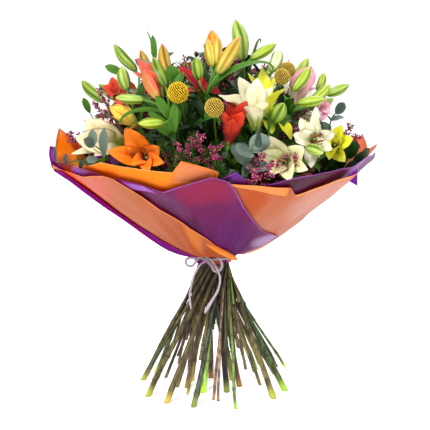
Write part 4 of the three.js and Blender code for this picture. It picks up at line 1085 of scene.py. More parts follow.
# The blooms that face the viewer, petal by petal. Each place is across and down in the picture, with a depth in
# millimetres. A petal is (tip, width in millimetres, recurve of its tip in radians). length sets its stamens.
FACING_BLOOMS = {
    "orange": dict(
        base=(146, 160, -128), towards=(142, 156, -185), length=58, stamens=True,
        petals=[
            ((125, 128, -165), 31, 0.3), ((108, 151, -168), 27, 0.4), ((160, 147, -168), 30, 0.5),
            ((164, 163, -180), 22, 0.9), ((149, 173, -190), 22, 0.8), ((131, 165, -188), 19, 0.9),
        ],
    ),
    "white_left": dict(
        base=(126, 148, -96), towards=(108, 142, -136), length=58,
        petals=[
            ((84, 120, -116), 38, 0.1), ((75, 138, -136), 38, 0.2), ((71, 154, -112), 13, 0.5),
            ((104, 118, -92), 22, 0.3), ((94, 156, -140), 22, 0.4),
        ],
    ),
    "white": dict(
        base=(256, 130, -166), towards=(254, 104, -172), length=74,
        petals=[
            ((239, 77, -150), 33, 0.3), ((257, 78, -160), 33, 0.2), ((218, 95, -154), 36, 0.5),
            ((273, 87, -156), 25, 0.6), ((247, 106, -200), 30, 0.3), ((264, 102, -200), 30, 0.4),
        ],
    ),
    "yellow": dict(
        base=(268, 124, -112), towards=(266, 98, -112), length=42,
        petals=[
            ((248, 73, -98), 22, 0.3), ((262, 68, -96), 25, 0.2), ((276, 75, -104), 24, 0.3),
            ((285, 88, -130), 34, 0.4), ((291, 140, -142), 22, 1.0), ((272, 134, -150), 19, 1.2),
        ],
    ),
    "red": dict(
        base=(228, 145, -166), towards=(233, 118, -172), length=58,
        petals=[
            ((231, 102, -164), 30, 0.3), ((247, 101, -208), 22, 0.5), ((224, 112, -198), 24, 0.2),
            ((242, 112, -202), 24, 0.3), ((233, 119, -206), 20, 0.1), ((219, 104, -178), 22, 0.3),
        ],
    ),
    "cream": dict(
        base=(287, 164, -138), towards=(280, 160, -190), length=45, stamens=True,
        petals=[
            ((269, 136, -178), 31, 0.4), ((304, 147, -176), 33, 0.5), ((258, 153, -184), 25, 0.6),
            ((308, 170, -186), 22, 0.8), ((291, 181, -196), 26, 0.8), ((270, 176, -194), 22, 0.8),
        ],
    ),
    "white_open": dict(
        base=(314, 142, -112), towards=(311, 138, -158), length=56, stamens=True, ruffle=0.3,
        anthers=[((311, 137.5, -168), (323, 134.5, -166)), ((313, 142.5, -170), (324, 140.5, -168))],
        petals=[
            ((293, 135, -152), 27, 0.6), ((300, 118, -140), 22, 0.5), ((316, 106, -130), 15, 0.2),
            ((335, 133, -140), 23, 0.6), ((332, 150, -152), 22, 0.8), ((311, 168, -164), 25, 0.8),
        ],
    ),
    "yellow_right": dict(
        base=(334, 147, -84), towards=(331, 144, -124), length=44, stamens=True,
        petals=[
            ((342, 125, -112), 21, 0.4), ((353, 138, -110), 22, 0.5), ((345, 162, -122), 21, 0.6),
            ((329, 160, -134), 18, 0.8), ((322, 146, -132), 16, 0.7), ((328, 130, -120), 18, 0.6),
        ],
    ),
    "scarlet": dict(
        base=(118, 96, -80), towards=(113, 88, -100), length=46,
        petals=[
            ((103, 86, -98), 17, 0.4), ((112, 77, -92), 18, 0.3), ((122, 79, -90), 15, 0.3),
            ((122, 106, -104), 15, 0.6), ((128, 92, -96), 15, 0.5), ((107, 97, -106), 14, 0.6),
        ],
    ),
    "yellow_left": dict(
        base=(141, 129, -138), towards=(124, 116, -150), length=50,
        petals=[
            ((109, 106, -146), 20, -0.2), ((114, 104, -140), 18, -0.2), ((111, 116, -158), 21, -0.1),
            ((118, 123, -158), 18, 0.1), ((126, 104, -138), 15, 0.2), ((128, 132, -160), 19, 0.7),
        ],
    ),
    "coral": dict(
        base=(162, 99, -120), towards=(152, 76, -132), length=54,
        petals=[
            ((137, 58, -118), 19, 0.2), ((151, 62, -112), 18, 0.2), ((146, 68, -142), 22, 0.1),
            ((141, 75, -136), 16, 0.3), ((158, 76, -140), 16, 0.1), ((133, 72, -122), 13, 0.5),
        ],
    ),
    "pink": dict(
        base=(294, 106, -56), towards=(300, 82, -56), length=55,
        petals=[
            ((311, 66, -24), 36, 0.2), ((289, 59, -26), 11, -0.3), ((300, 73, -16), 26, 0.3),
            ((317, 88, -32), 20, 0.6), ((284, 92, -42), 19, 0.4), ((297, 104, -84), 17, 0.5),
        ],
    ),
    "pink_side": dict(
        base=(316, 108, -66), towards=(324, 107, -78), length=40,
        petals=[
            ((324, 97, -80), 18, 0.6), ((331, 104, -76), 16, 0.5), ((330, 114, -82), 17, 0.7),
            ((322, 121, -84), 16, 0.8), ((316, 113, -92), 14, 0.9), ((318, 99, -88), 14, 0.8),
        ],
    ),
    "crimson": dict(
        base=(202, 98, -82), towards=(202, 84, -94), length=46,
        petals=[
            ((178, 66, -80), 18, 0.4), ((192, 66, -74), 14, 0.3), ((222, 76, -84), 16, 0.5),
            ((187, 92, -112), 17, 0.8), ((221, 94, -104), 17, 0.8), ((207, 74, -70), 15, 0.3),
        ],
    ),
}


def facing_bloom(shape, told, seed):
    """Looks: as in plain_bloom."""
    foot = seen(*told["base"])
    frame_axes = axes_of(unit(seen(*told["towards"]) - foot))
    axis = frame_axes[0]
    add_hub(shape, foot, axis, -1, 7)
    for i, (tip, width, recurve) in enumerate(told["petals"]):
        petal_to(shape, foot, axis, seen(*tip), width, seed * 7 + i, recurve, told.get("ruffle", 0.06))
    if "stamens" in told:
        add_stamens(shape, foot, frame_axes, told["length"], seed)
    for start, end in told.get("anthers", []):
        line = np.linspace(seen(*start), seen(*end), len(LARGE_ANTHER_RADII))
        tube(shape, line, LARGE_ANTHER_RADII, 8, look=2)
    return foot, axis


LEAF_STATIONS = [0, 0.12, 0.35, 0.7, 0.9, 1]
LEAF_WIDTHS = [0.34, 0.7, 1, 0.78, 0.36, 0.03]
TURN = 2.4  # from each leaf or side twig to the next, in radians


def strap_leaf(shape, root, along, tip, width, seed):
    rows = 15
    root, tip = np.asarray(root, float), np.asarray(tip, float)
    far = np.linalg.norm(tip - root)
    u = np.linspace(0, 1, rows)
    line = bezier(root, root + along * 0.45 * far, tip + np.array([0, 0, 0.3 * far]), tip, u)
    outward = unit(tip - root)
    upper = along - 0.7 * outward + np.array([0, 0, 0.4])
    twist = (chance(seed, 11) - 0.5) * 0.5
    upper = np.broadcast_to(upper, (rows, 3)) + np.cross(outward, upper) * (twist * u)[:, None]
    blade(
        shape, line, upper, width * curve_through(LEAF_STATIONS, LEAF_WIDTHS, u), LEAF_THICK,
        cup=0.16, ruffle=0.03, waves=2.2, tone=chance(seed, 12), look=1, under=2,
    )


def leafy_part(shape, line, seed, count, length, width, low, high):
    """Strap leaves set round a stem from the share low of its line to high, where they stay out of the heads."""
    along = directions(line)
    for k in range(count):
        share = mix(low, high, (k + 0.5) / count)
        at = share * (len(line) - 1)
        i = min(int(at), len(line) - 2)
        root = line[i] + (line[i + 1] - line[i]) * (at - i)
        s, n = sides(along[i])
        outward = unit(around(s, n, (k + seed) * TURN))
        leaf_seed = seed * 31 + k
        size = length * mix(0.75, 1.2, chance(leaf_seed, 13))
        rise = mix(0.35, 1.1, chance(leaf_seed, 14))
        tip = root + unit(outward + along[i] * rise) * size
        if clear_of_heads(root, tip):
            strap_leaf(shape, root, along[i], tip, width * mix(0.8, 1.2, chance(leaf_seed, 15)), leaf_seed)


ROUND_STATIONS = [0, 0.08, 0.26, 0.6, 0.88, 1]
ROUND_WIDTHS = [0.12, 0.42, 0.82, 1, 0.62, 0.06]


def round_leaf(shape, root, outward, face, size, seed):
    length, width = size
    u = np.linspace(0, 1, 13)
    line = root + outward * (length * u)[:, None] + unit(face) * (0.06 * length * np.sin(np.pi * u))[:, None]
    widths = width * curve_through(ROUND_STATIONS, ROUND_WIDTHS, u)
    blade(
        shape, line, face, widths, LEAF_THICK, cup=0.08, columns=9, ruffle=0.03, waves=1.5, tone=chance(seed, 16),
        look=1, under=2,
    )


def crooked(line, seed):
    """Bends a stem a little below the neck, but not at its foot."""
    height = np.clip(NECK_Z - line[:, 2], 0, NECK_Z - line[0, 2])
    share = height / height.max()
    bend = 1.5 * smooth(height, 0, 70) * smooth(share, 1.0, 0.9)
    s, n = sides(unit(line[-1] - line[0]))
    phase = 6.28 * chance(seed, 50)
    return line + bend[:, None] * (
        s * np.sin(phase + height / mix(16, 26, chance(seed, 51)))[:, None] * 0.4
        + n * np.sin(2 * phase + height / mix(30, 44, chance(seed, 52)))[:, None]
    )


def stem_radii(height, radii):
    foot, neck, top = radii
    return np.where(height < NECK_Z, mix(foot, neck, height / NECK_Z), mix(neck, top, (height - NECK_Z) / UPPER_STEM))


def swellings(height, start, spacing, width):
    """1 at each node of a stem, and 0 between them."""
    return np.exp(-((((height + 60 * start) / spacing) % 1 - 0.5) / width) ** 2)


def lily_stem(shape, line, seed):
    """A stem with a swelling and a scar at each node, cut level at its foot."""
    fine = line_through(np.linspace(0, 1, len(line)), line, np.linspace(0, 1, 90))
    height = fine[:, 2]
    spacing = mix(30, 48, chance(seed, 18))
    ring = swellings(height, chance(seed, 19), spacing, 0.045)
    radii = stem_radii(height, LILY_R) * mix(0.88, 1.08, chance(seed, 17)) * (1 + 0.18 * ring)
    fine = crooked(fine, seed)
    knots = np.repeat(ring[:, None], 12, 1)
    tube(shape, fine, radii, 12, tone=chance(seed, 20), end_look=3, level=True, across=knots)
    stubs = np.arange(spacing * (0.5 - chance(seed, 19) % 0.5), NECK_Z - 40, spacing)
    for k, h in enumerate(stubs[stubs > SCARS_FROM]):
        i = int(np.argmin(np.abs(height - h)))
        along = unit(fine[i + 1] - fine[i])
        s, n = sides(along)
        outward = around(s, n, TURN * k + 6.28 * chance(seed, 21))
        start = fine[i] + outward * radii[i] * 0.8
        far = mix(4, 9, chance(seed + k, 22))
        line = bezier(
            start, start + along * far * 0.3 + outward, start + along * far * 0.7 + outward * 2,
            start + along * far + outward * 2.2, np.linspace(0, 1, 5),
        )
        blade(shape, line, outward, [3.6, 3.2, 2.4, 1.4, 0.3], 0.6, cup=-0.15, columns=5)


def thin_stem(shape, line, seed):
    radii = stem_radii(line[:, 2], THIN_R)
    tube(shape, crooked(line, seed), radii, 8, tone=chance(seed, 20), end_look=3, level=True)


BELL = lathe([[0.25, 0], [0.95, 0.6], [1.3, 1.7], [1.1, 3.1], [0.6, 4.0]], 6)
NEEDLE_LEAF = lathe([[0.5, 0], [0.65, 5], [0.4, 11], [0.05, 15]], 3)
BEAD = lathe([[0.8, -0.8], [1.12, 0.2], [1.05, 0.9], [0.45, 1.6]], 6)


def clothed_twig(shape, line, seed, part, spacing, out, forward, looks, size=1.0, start=0.0):
    """A twig with bells or needles set round it in a spiral, from the share start of its length.

    out and forward are how far they point out from it and along it. The last look is the twig's own.
    """
    rows = len(line)
    tube(shape, line, np.linspace(1.1, 0.5, rows), 6, look=looks[-1])
    length = np.linalg.norm(np.diff(line, axis=0), axis=1).sum()
    count = int(length * (1 - start) / spacing)
    u = start + (1 - start) * (np.arange(count) + 0.5) / count
    along, s, n = (part_way(table, u) for table in carried(line))
    rng = np.random.default_rng(seed)
    a = np.arange(count) * GOLDEN_ANGLE + seed
    outward = s * np.cos(a)[:, None] + n * np.sin(a)[:, None]
    heads = outward * (out + 0.25 * rng.random(count))[:, None] + along * forward + rng.normal(0, 0.12, (count, 3))
    sizes = size * mix(1.1, 0.7, u) * mix(0.8, 1.15, rng.random(count))
    tones = rng.random(count)
    matrices = turned(heads, sizes)
    offsets = part_way(line, u) + outward * 0.7
    for k, look in enumerate(looks[:-1]):
        chosen = np.ones(count, bool)
        if len(looks) > 2:
            gold = (np.arange(count) * 7) % 19 == 0
            chosen = gold if k else ~gold
        copies(shape, part, matrices[chosen], offsets[chosen], tones[chosen], look)


def twig_line(start, lean, tip):
    far = np.linalg.norm(tip - start)
    sag = np.array([0, 0, 0.12 * far])
    return bezier(
        start - lean * 3, start + lean * 0.35 * far, tip - lean * 0.3 * far - sag, tip, np.linspace(0, 1, 12)
    )


HEATHER_BRANCHES = 8


def heather_twig(shape, line, seed):
    """Looks: 1 bells, 2 gold, 4 twig. Side twigs along it carry most of the bells."""
    looks = (1, 2, 4)
    clothed_twig(shape, line, seed, BELL, 1.9, 0.85, 0.55, looks, size=1.1, start=0.55)
    along = directions(line)
    for k in range(HEATHER_BRANCHES):
        at = mix(0.2, 0.92, (k + 0.5) / HEATHER_BRANCHES)
        root, forward = part_way(line, at), unit(part_way(along, at))
        s, n = sides(forward)
        size = mix(13, 26, chance(seed + k, 23)) * mix(1.1, 0.6, at)
        tip = root + unit(around(s, n, TURN * k + seed) * 0.9 + forward) * size
        side = bezier(root, root + forward * 4, tip - forward * 5, tip, np.linspace(0, 1, 7))
        bell_size = mix(0.8, 1.15, chance(seed + k, 25))
        clothed_twig(shape, side, seed + 40 + k, BELL, 1.3, 0.8, 0.6, looks, size=bell_size, start=0.35)


def needle_twig(shape, line, seed, start=0.1):
    clothed_twig(shape, line, seed, NEEDLE_LEAF, 0.5, 0.75, 0.8, (1, 4), start=start)


HEATHER_LOOKS = [THIN_STEM, HEATHER_BELL, HEATHER_GOLD, CUT_END, TWIG]
NEEDLE_LOOKS = [THIN_STEM, NEEDLE, NEEDLE, CUT_END, TWIG]

# ---------------------------------------------------------------- growing the plants

places = tied_places()

# Where the heads are, as balls that leaves and loose twigs stay out of.
BALLS = [((seen(*b["base"]) + seen(*b["towards"])) / 2, 0.42 * b["length"]) for b in FACING_BLOOMS.values()]
BALLS += [
    (np.asarray(b["base"], float) + unit(b["faces"]) * b["length"] * 0.5, 0.42 * b["length"])
    for b in PLAIN_BLOOMS.values()
]
BALLS += [(np.asarray(p["top"], float), p["radius"] + 2) for p in CRASPEDIA]
BALLS += [((np.asarray(b[0], float) + np.asarray(b[1], float)) / 2, 14) for p in LILIES for b in p["buds"]]


def clear_of_heads(root, tip):
    """True where a leaf from root to tip stays out of the heads, over the bowl and under the dome."""
    for share in (0.55, 0.8, 1.0):
        p = root + (tip - root) * share
        if any(np.linalg.norm(p - centre) < radius for centre, radius in BALLS):
            return False
    r = math.hypot(p[0], p[1])
    return p[2] > LEAF_FLOOR[0] + LEAF_FLOOR[1] * r and p[2] < dome(LEAF_TOP, r) and r < LEAF_REACH


STEM_ORDER = [0, 4, 1, 2, 3, 5, 1, 0, 4, 2, 5, 3, 0, 1, 4, 0]  # the look of each lily's stem

for index, plant in enumerate(LILIES):
    name = plant["name"]
    top = np.asarray(plant["top"], float)
    line, curve, lean = stem_line(places[name], top, 0)
    shape = Shape()
    lily_stem(shape, line, index)
    for k, (base, tip, thick, _) in enumerate(plant["buds"]):
        base, tip = np.asarray(base, float), np.asarray(tip, float)
        stalk = stalk_line(top, lean, base, unit(tip - base))
        tube(shape, stalk, np.linspace(1.5, 1.6, len(stalk)), 8, tone=0.6, look=4)
        bud_solid(shape, base, tip, thick, 5 + k, chance(index * 9 + k, 24))
    for k, bloom in enumerate(plant["blooms"]):
        petals = Shape()
        if bloom in FACING_BLOOMS:
            base, faces = facing_bloom(petals, FACING_BLOOMS[bloom], index * 5 + k + 1)
        else:
            base, faces = plain_bloom(petals, PLAIN_BLOOMS[bloom], index * 5 + k + 1)
        stalk = stalk_line(top, lean, base, faces)
        tube(shape, stalk, np.linspace(1.5, 1.7, len(stalk)), 8, tone=0.6, look=4)
        looks = [PETALS[bloom], FILAMENT, ANTHER, PISTIL, STEMS[4]]
        place(petals, "bloom_" + bloom + "_fine", looks, "petals_" + PETAL_SLOTS[bloom], "bloom_" + bloom)
    for k, (share, tip, width) in enumerate(plant["leaves"]):
        root, before, after = bezier(*curve, np.array([share, share - 0.02, min(share + 0.02, 1)]))
        strap_leaf(shape, root, unit(after - before), tip, width * 1.06, index * 13 + k)
    leafy_part(shape, line[LOWER_POINTS:], index + 3, 9, 62, 12, 0.5, 0.97)
    looks = [STEMS[STEM_ORDER[index]], LEAF, LEAF_UNDER, CUT_END, STEMS[4]]
    looks += [BUDS[look] for *_, look in plant["buds"]]
    place(shape, name + "_fine", looks, "lily_green", name)


def with_stem(plant, index):
    """The shape of a plant with its thin stem in it, the stem's top, and the way it points there."""
    top = np.asarray(plant["top"], float)
    foot_z = math.floor(TALLEST_CUT * chance(index, 1) ** 1.5 + 0.5)
    line, _, lean = stem_line(places[plant["name"]], top, foot_z)
    shape = Shape()
    thin_stem(shape, line, index)
    return shape, top, lean


VIVID_CRASPEDIA = ("craspedia_1", "craspedia_5")
CORE_HALF = [[0.05, -1], [0.38, -0.92], [0.71, -0.71], [0.92, -0.38]]
CORE = lathe(CORE_HALF + [[1, 0]] + [[out, -height] for out, height in CORE_HALF[::-1]], 16)

for index, plant in enumerate(CRASPEDIA, len(LILIES)):
    shape, centre, _ = with_stem(plant, index)
    radius = plant["radius"]
    florets = int(CRASPEDIA_FLORETS * (radius / CRASPEDIA_R) ** 2)
    k = np.arange(florets) + 0.5
    z = 1 - 2 * k / florets
    a = k * GOLDEN_ANGLE
    flat = np.sqrt(1 - z * z)
    heads = np.stack([flat * np.cos(a), flat * np.sin(a), z], 1)
    rng = np.random.default_rng(index)
    heads = unit(heads + rng.normal(0, 0.012, heads.shape))
    matrices = turned(heads, mix(0.85, 1.1, rng.random(florets)))
    copies(shape, BEAD, matrices, centre + heads * (radius - 1.7), rng.random(florets), 1)
    copies(shape, CORE, np.eye(3)[None] * (radius - 2.1), [centre], [0.5], 2)
    bead = CRASPEDIA_BEAD if plant["name"] in VIVID_CRASPEDIA else CRASPEDIA_DULL
    looks = [THIN_STEM, bead, CRASPEDIA_CORE, CUT_END]
    place(shape, plant["name"] + "_fine", looks, "craspedia", plant["name"])

for index, plant in enumerate(SPRAYS, len(LILIES) + len(CRASPEDIA)):
    shape, top, lean = with_stem(plant, index)
    heather = plant["name"].startswith("heather")
    for k, tip in enumerate(plant["tips"]):
        twig = twig_line(top, lean, np.asarray(tip, float))
        (heather_twig if heather else needle_twig)(shape, twig, index * 5 + k)
    looks, slot = (HEATHER_LOOKS, "heather") if heather else (NEEDLE_LOOKS, "needles")
    place(shape, plant["name"] + "_fine", looks, slot, plant["name"])

for index, plant in enumerate(EUCALYPTUS, len(LILIES) + len(CRASPEDIA) + len(SPRAYS)):
    shape, top, lean = with_stem(plant, index)
    tip = np.asarray(plant["tip"], float)
    far = np.linalg.norm(tip - top)
    branch = (top - lean * 4, top + lean * 0.3 * far, tip - lean * 0.3 * far, tip)
    tube(shape, bezier(*branch, np.linspace(0, 1, 14)), np.linspace(1.3, 0.9, 14), 8)
    knots = bezier(*branch, np.linspace(0, 1, LEAF_PAIRS + 2))
    along = directions(knots)
    for k, (root, leaf_tip, width) in enumerate(plant.get("seen", [])):
        root, leaf_tip = seen(*root), seen(*leaf_tip)
        reach = leaf_tip - root
        size = (np.linalg.norm(reach), width)
        twig = bezier(root, root - reach * 0.2, mix(root, knots[2], 0.7), knots[2], np.linspace(0, 1, 7))
        tube(shape, twig, 0.6, 5)
        round_leaf(shape, root, unit(reach), np.array([0.3 * (-1) ** k, -1, 0.2]), size, index * 11 + k)
    for pair in range(0 if "seen" in plant else LEAF_PAIRS):
        direction = along[pair + 1]
        s, n = sides(direction)
        size = np.array(plant["leaf"]) * mix(1.1, 0.8, pair / LEAF_PAIRS)
        for half in range(2):
            outward = around(s, n, pair * math.pi / 2 + half * math.pi + 0.5)
            reach = unit(outward + direction * 0.5)
            face = direction - outward * 0.5
            round_leaf(shape, knots[pair + 1], reach, face, size, index * 11 + pair * 2 + half)
    end = along[-1]
    round_leaf(shape, knots[-1] - end * 3, end, sides(end)[0], np.array(plant["leaf"]) * 0.9, index * 11 + 9)
    place(shape, plant["name"] + "_fine", [THIN_STEM, GREY_LEAF, GREY_UNDER, CUT_END], "eucalyptus", plant["name"])

# ---------------------------------------------------------------- thinner stems between the others

SPARE_R = (2.3, 1.3)  # radius at the foot and at the neck
SPARE_TRIES = 1400
SPARE_RING_R = 22.6
SPARE_TOP = 300
SPARE_CUT = 150
# Curled rootlets, as places in the picture with a depth.
CURLS = [
    [(232, 266, -24), (240, 280, -34), (246, 284, -40), (248, 279, -44), (245, 275, -40), (243, 279, -38)],
    [(216, 310, -56), (210, 322, -64), (214, 332, -70), (222, 330, -70), (220, 322, -66), (213, 325, -64)],
    [(206, 318, -60), (200, 328, -66), (204, 340, -70), (214, 342, -74), (222, 338, -74)],
    [(178, 300, -50), (172, 312, -60), (176, 318, -62), (180, 313, -60)],
]

taken = [(places[p["name"]][:2], LILY_R[1] * 1.2 if p in LILIES else THIN_R[1]) for p in PLANTS]
spare = [Shape() for _ in STEMS]
for k in range(SPARE_TRIES):
    r, a = SPARE_RING_R * math.sqrt((k + 0.5) / SPARE_TRIES), k * GOLDEN_ANGLE
    spot = np.array([r * math.cos(a), r * math.sin(a)])
    if any(np.linalg.norm(spot - other) < far + SPARE_R[1] + 0.15 for other, far in taken):
        continue
    taken.append((spot, SPARE_R[1]))
    heights = np.linspace(SPARE_CUT * chance(k, 60) ** 1.2, SPARE_TOP, 60)
    line = np.array([below(spot, z) for z in heights])
    ring = swellings(heights, chance(k, 62), mix(22, 38, chance(k, 63)), 0.06)
    radii = np.interp(heights, [0, NECK_Z], SPARE_R) * mix(0.85, 1.15, chance(k, 61)) * (1 + 0.2 * ring)
    shape = spare[int(chance(k, 64) * len(STEMS))]
    knots = np.repeat(ring[:, None], 8, 1)
    tube(shape, crooked(line, k), radii, 8, tone=chance(k, 65), end_look=1, level=True, across=knots)
for curl in CURLS:
    tube(spare[2], smooth_route([seen(*spot) for spot in curl], 40), 0.32, 5, tone=0.2)
for shape, look, name in zip(spare, STEMS, STEM_TINTS):
    place(shape, "stems_between_" + name.replace(" ", "_"), [look, CUT_END], "lily_green")

# ---------------------------------------------------------------- the greenery between the heads

FILL_PLACES = 150
FILL_RADIUS = 206
FILL_DEPTH = (26, 60)  # how far under the dome the filling ends
FILL_FOOT_R = 17  # where it starts, inside the tie
FILL_FOOT_Z = 214
FILL_KINDS = "lhnlnnlhnn"  # leaves, heather or needles, in turn
KEPT_CLEAR = [(62, 138, 100, 172), (325, 128, 385, 165)]  # boxes in the picture without heather from the middle


def fill_line(i):
    """The line of a filling stem, from inside the tie to a place a little under the dome."""
    r, a = FILL_RADIUS * math.sqrt((i + 0.5) / FILL_PLACES), i * GOLDEN_ANGLE
    head = np.array([r * math.cos(a), r * math.sin(a), dome(DOME_TOP, r) - mix(*FILL_DEPTH, chance(i, 30))])
    inner = FILL_FOOT_R * math.sqrt(chance(i, 31))
    start = np.array([inner * math.cos(a - 0.5), inner * math.sin(a - 0.5), FILL_FOOT_Z])
    lean = unit(head - np.array([0, 0, FAN_CENTRE_Z]))
    far = np.linalg.norm(head - start)
    return bezier(start, start + np.array([0, 0, 0.3 * far]), head - lean * 0.35 * far, head, np.linspace(0, 1, 14))


leafy, heathery, needled, bright = Shape(), Shape(), Shape(), Shape()
for i in range(FILL_PLACES):
    kind = FILL_KINDS[i % len(FILL_KINDS)]
    line = fill_line(i)
    head = line[-1]
    if kind != "l" and any(np.linalg.norm(head - centre) < radius * 0.9 for centre, radius in BALLS):
        continue
    across, down = shown(head)
    if kind == "h" and any(a0 < across < a1 and d0 < down < d1 for a0, d0, a1, d1 in KEPT_CLEAR):
        continue
    if kind == "l":
        tube(leafy, line, np.linspace(1.2, 1.0, len(line)), 6)
        leafy_part(leafy, line, i + 50, 6, 58, 12.5, 0.68, 1.0)
    elif kind == "h":
        tube(heathery, line[:-4], 1.0, 6)
        heather_twig(heathery, line[-5:], i + 200)
    else:
        tube(needled, line[:-4], 1.0, 6)
        needle_twig(needled, line[-6:], i + 300, start=0.05)

# Leaves that face the viewer, as places in the picture with a depth: (root, tip, width in millimetres).
DARK_FACING = [
    ((348, 159, -60), (357, 141, -72), 17), ((340, 164, -50), (351, 147, -56), 16),
    ((333, 172, -80), (345, 157, -92), 16), ((352, 166, -52), (365, 152, -52), 13),
    ((324, 178, -100), (337, 166, -118), 15), ((360, 160, -30), (369, 148, -30), 10),
    ((312, 180, -110), (325, 168, -134), 14), ((338, 158, -10), (349, 139, -10), 18),
    ((344, 172, -70), (357, 161, -70), 12), ((322, 168, -56), (336, 152, -70), 17),
    ((330, 162, -30), (342, 146, -30), 17), ((336, 176, -110), (350, 169, -104), 9),
    ((150, 178, -130), (172, 169, -160), 8), ((168, 180, -140), (190, 172, -168), 8),
    ((186, 181, -150), (214, 174, -176), 9), ((196, 182, -150), (222, 181, -182), 9),
    ((120, 174, -110), (104, 169, -138), 9), ((212, 184, -160), (230, 170, -186), 11),
    ((222, 184, -160), (240, 172, -184), 11), ((246, 184, -160), (258, 170, -184), 12),
    ((112, 168, -84), (98, 158, -96), 12),
]
BRIGHT_FACING = [
    ((172, 141, -148), (175, 101, -160), 13), ((170, 138, -146), (180, 108, -152), 12),
    ((173, 130, -150), (148, 112, -166), 11), ((172, 136, -150), (152, 122, -170), 12),
    ((173, 122, -150), (156, 96, -160), 13), ((174, 116, -148), (184, 88, -150), 12),
    ((90, 113, -60), (83, 98, -66), 10), ((124, 74, -70), (105, 66, -74), 12), ((155, 62, -60), (152.5, 35, -60), 9),
    ((176, 82, -120), (169, 66, -128), 20),
]


def facing_leaf(shape, root, tip, width, seed):
    root, tip = seen(*root), seen(*tip)
    face = np.array([0.5 * (chance(seed, 70) - 0.5), -1, 0.35])
    round_leaf(shape, root, unit(tip - root), face, (np.linalg.norm(tip - root), width), seed)
    inwards = [root[0] * 0.5, root[1] * 0.5, 300]
    stalk = bezier(root + unit(tip - root), root * 0.9, inwards, [0, 0, 240], np.linspace(0, 1, 10))
    tube(shape, stalk, 0.9, 5)


for k, told in enumerate(DARK_FACING):
    facing_leaf(leafy, *told, k + 900)
for k, told in enumerate(BRIGHT_FACING):
    facing_leaf(bright, *told, k + 950)

place(leafy, "leafy_greens", [STEMS[2], DARK_LEAF, DARK_LEAF], "lily_green")
place(bright, "leaves_between", [STEMS[4], LEAF, LEAF_UNDER], "lily_green")
place(heathery, "heather_between", HEATHER_LOOKS, "heather")
place(needled, "needles_between", NEEDLE_LOOKS, "needles")

# ---------------------------------------------------------------- the film round the bouquet

# middle is the place round the bowl, in degrees, where a sheet lies in the middle of the pile: towards its right
# end it runs outside its neighbour, towards its left end inside. inside holds a whole sheet that many layers further
# in. left and right are its edges as [distance from the axis, degrees], and rim is [degrees, distance, lift].
SHEETS = [
    dict(
        name="film_orange_front", middle=-140,
        left=[[26, -130], [74, -140], [135, -165], [232, -180]],
        right=[[26, -62], [74, -66], [100, -88], [135, -104], [178, -115], [240, -124]],
        rim=[[-180, 232], [-166, 246], [-152, 258], [-139, 240], [-127, 246], [-124, 240]],
    ),
    dict(
        name="film_purple_front", middle=-85,
        left=[[26, -80], [74, -95], [135, -130], [236, -150]],
        right=[
            [26, -40], [38, -52], [74, -62], [94, -43], [111, -28], [120, -42], [128, -52], [136, -60.5], [156, -69],
            [178, -76], [220, -84],
        ],
        rim=[[-150, 236], [-139, 256], [-129, 243], [-119, 228], [-109, 208], [-98, 218], [-90, 228], [-84, 220]],
    ),
    dict(
        name="film_orange_right", middle=-30,
        left=[[26, -35], [74, -50], [135, -80], [224, -92]],
        right=[[26, 30], [74, 20], [135, -8], [185, -31], [215, -40], [250, -34]],
        rim=[[-92, 216], [-80, 212], [-70, 216], [-61, 219], [-57, 207], [-45, 223], [-34, 250]],
    ),
    dict(
        name="film_purple_right", middle=25,
        left=[[26, 10], [74, -20], [135, -60], [218, -88]],
        right=[[26, 75], [240, 45]],
        rim=[
            [-88, 214], [-82, 232], [-74, 208], [-58, 238], [-42, 244, 6], [-25, 246, 14], [-8, 246, 22], [4, 244, 8],
            [16, 242], [30, 239], [45, 236],
        ],
    ),
    dict(
        name="film_orange_back", middle=75,
        left=[[26, 55], [74, 30], [135, 8], [238, -6]],
        right=[[26, 135], [240, 122]],
        rim=[
            [-6, 236, 22], [8, 256, 20], [16, 250, 12], [27, 270, 8], [46, 246], [68, 240], [94, 242], [108, 238],
            [122, 236],
        ],
    ),
    dict(
        name="film_purple_left", middle=170,
        left=[[26, 115], [238, 108]],
        right=[[26, 248], [74, 248], [94, 235], [111, 227], [135, 220], [178, 217], [250, 213]],
        rim=[
            [108, 236], [122, 242], [136, 240], [149, 246], [163, 264, 10], [174, 248], [185, 240], [197, 240],
            [213, 252],
        ],
    ),
    dict(
        name="film_orange_inside", inside=2.9,
        left=[[26, 165], [250, 146]],
        right=[[26, 262], [74, 270], [228, 272]],
        rim=[
            [146, 246], [160, 260, 32], [176, 244], [196, 236], [216, 240], [234, 260], [245, 243], [256, 231],
            [260, 250], [272, 227],
        ],
    ),
]

BOWL_ROWS = (30, 178)  # the distances from the axis between which the rows of points follow the bowl
FILM_STEP_DEGREES = 1.6


def straight(table, x):
    return np.interp(x, *zip(*table))


def layer_at(sheet, degrees):
    if "inside" in sheet:
        return np.full_like(degrees, -sheet["inside"])
    return (degrees - sheet["middle"]) / LAYER_ANGLE


def bowl_point(r, a, layer):
    """A point of the bowl, moved out of the pile by a number of layers."""
    slope = mix(SIDE_SLOPE, FRONT_SLOPE, np.sin(a) ** 2)
    bend = np.hypot(r - BOWL_BEND_R, BOWL_BEND)
    height = slope * (bend + r - BOWL_BEND_R) / 2
    steep = slope * (1 + (r - BOWL_BEND_R) / bend) / 2
    opened = smooth(r, COLLAR_R, 200)
    out = layer * mix(NECK_LAYER, RIM_LAYER, opened) + FILM_WAVE * opened * np.sin(FILM_WAVES * a)
    out = out + folds(r, a)
    tilt = np.hypot(1, steep)
    radius = r + out * steep / tilt
    return np.stack([radius * np.cos(a), radius * np.sin(a), BOWL_Z + height - out / tilt], -1)


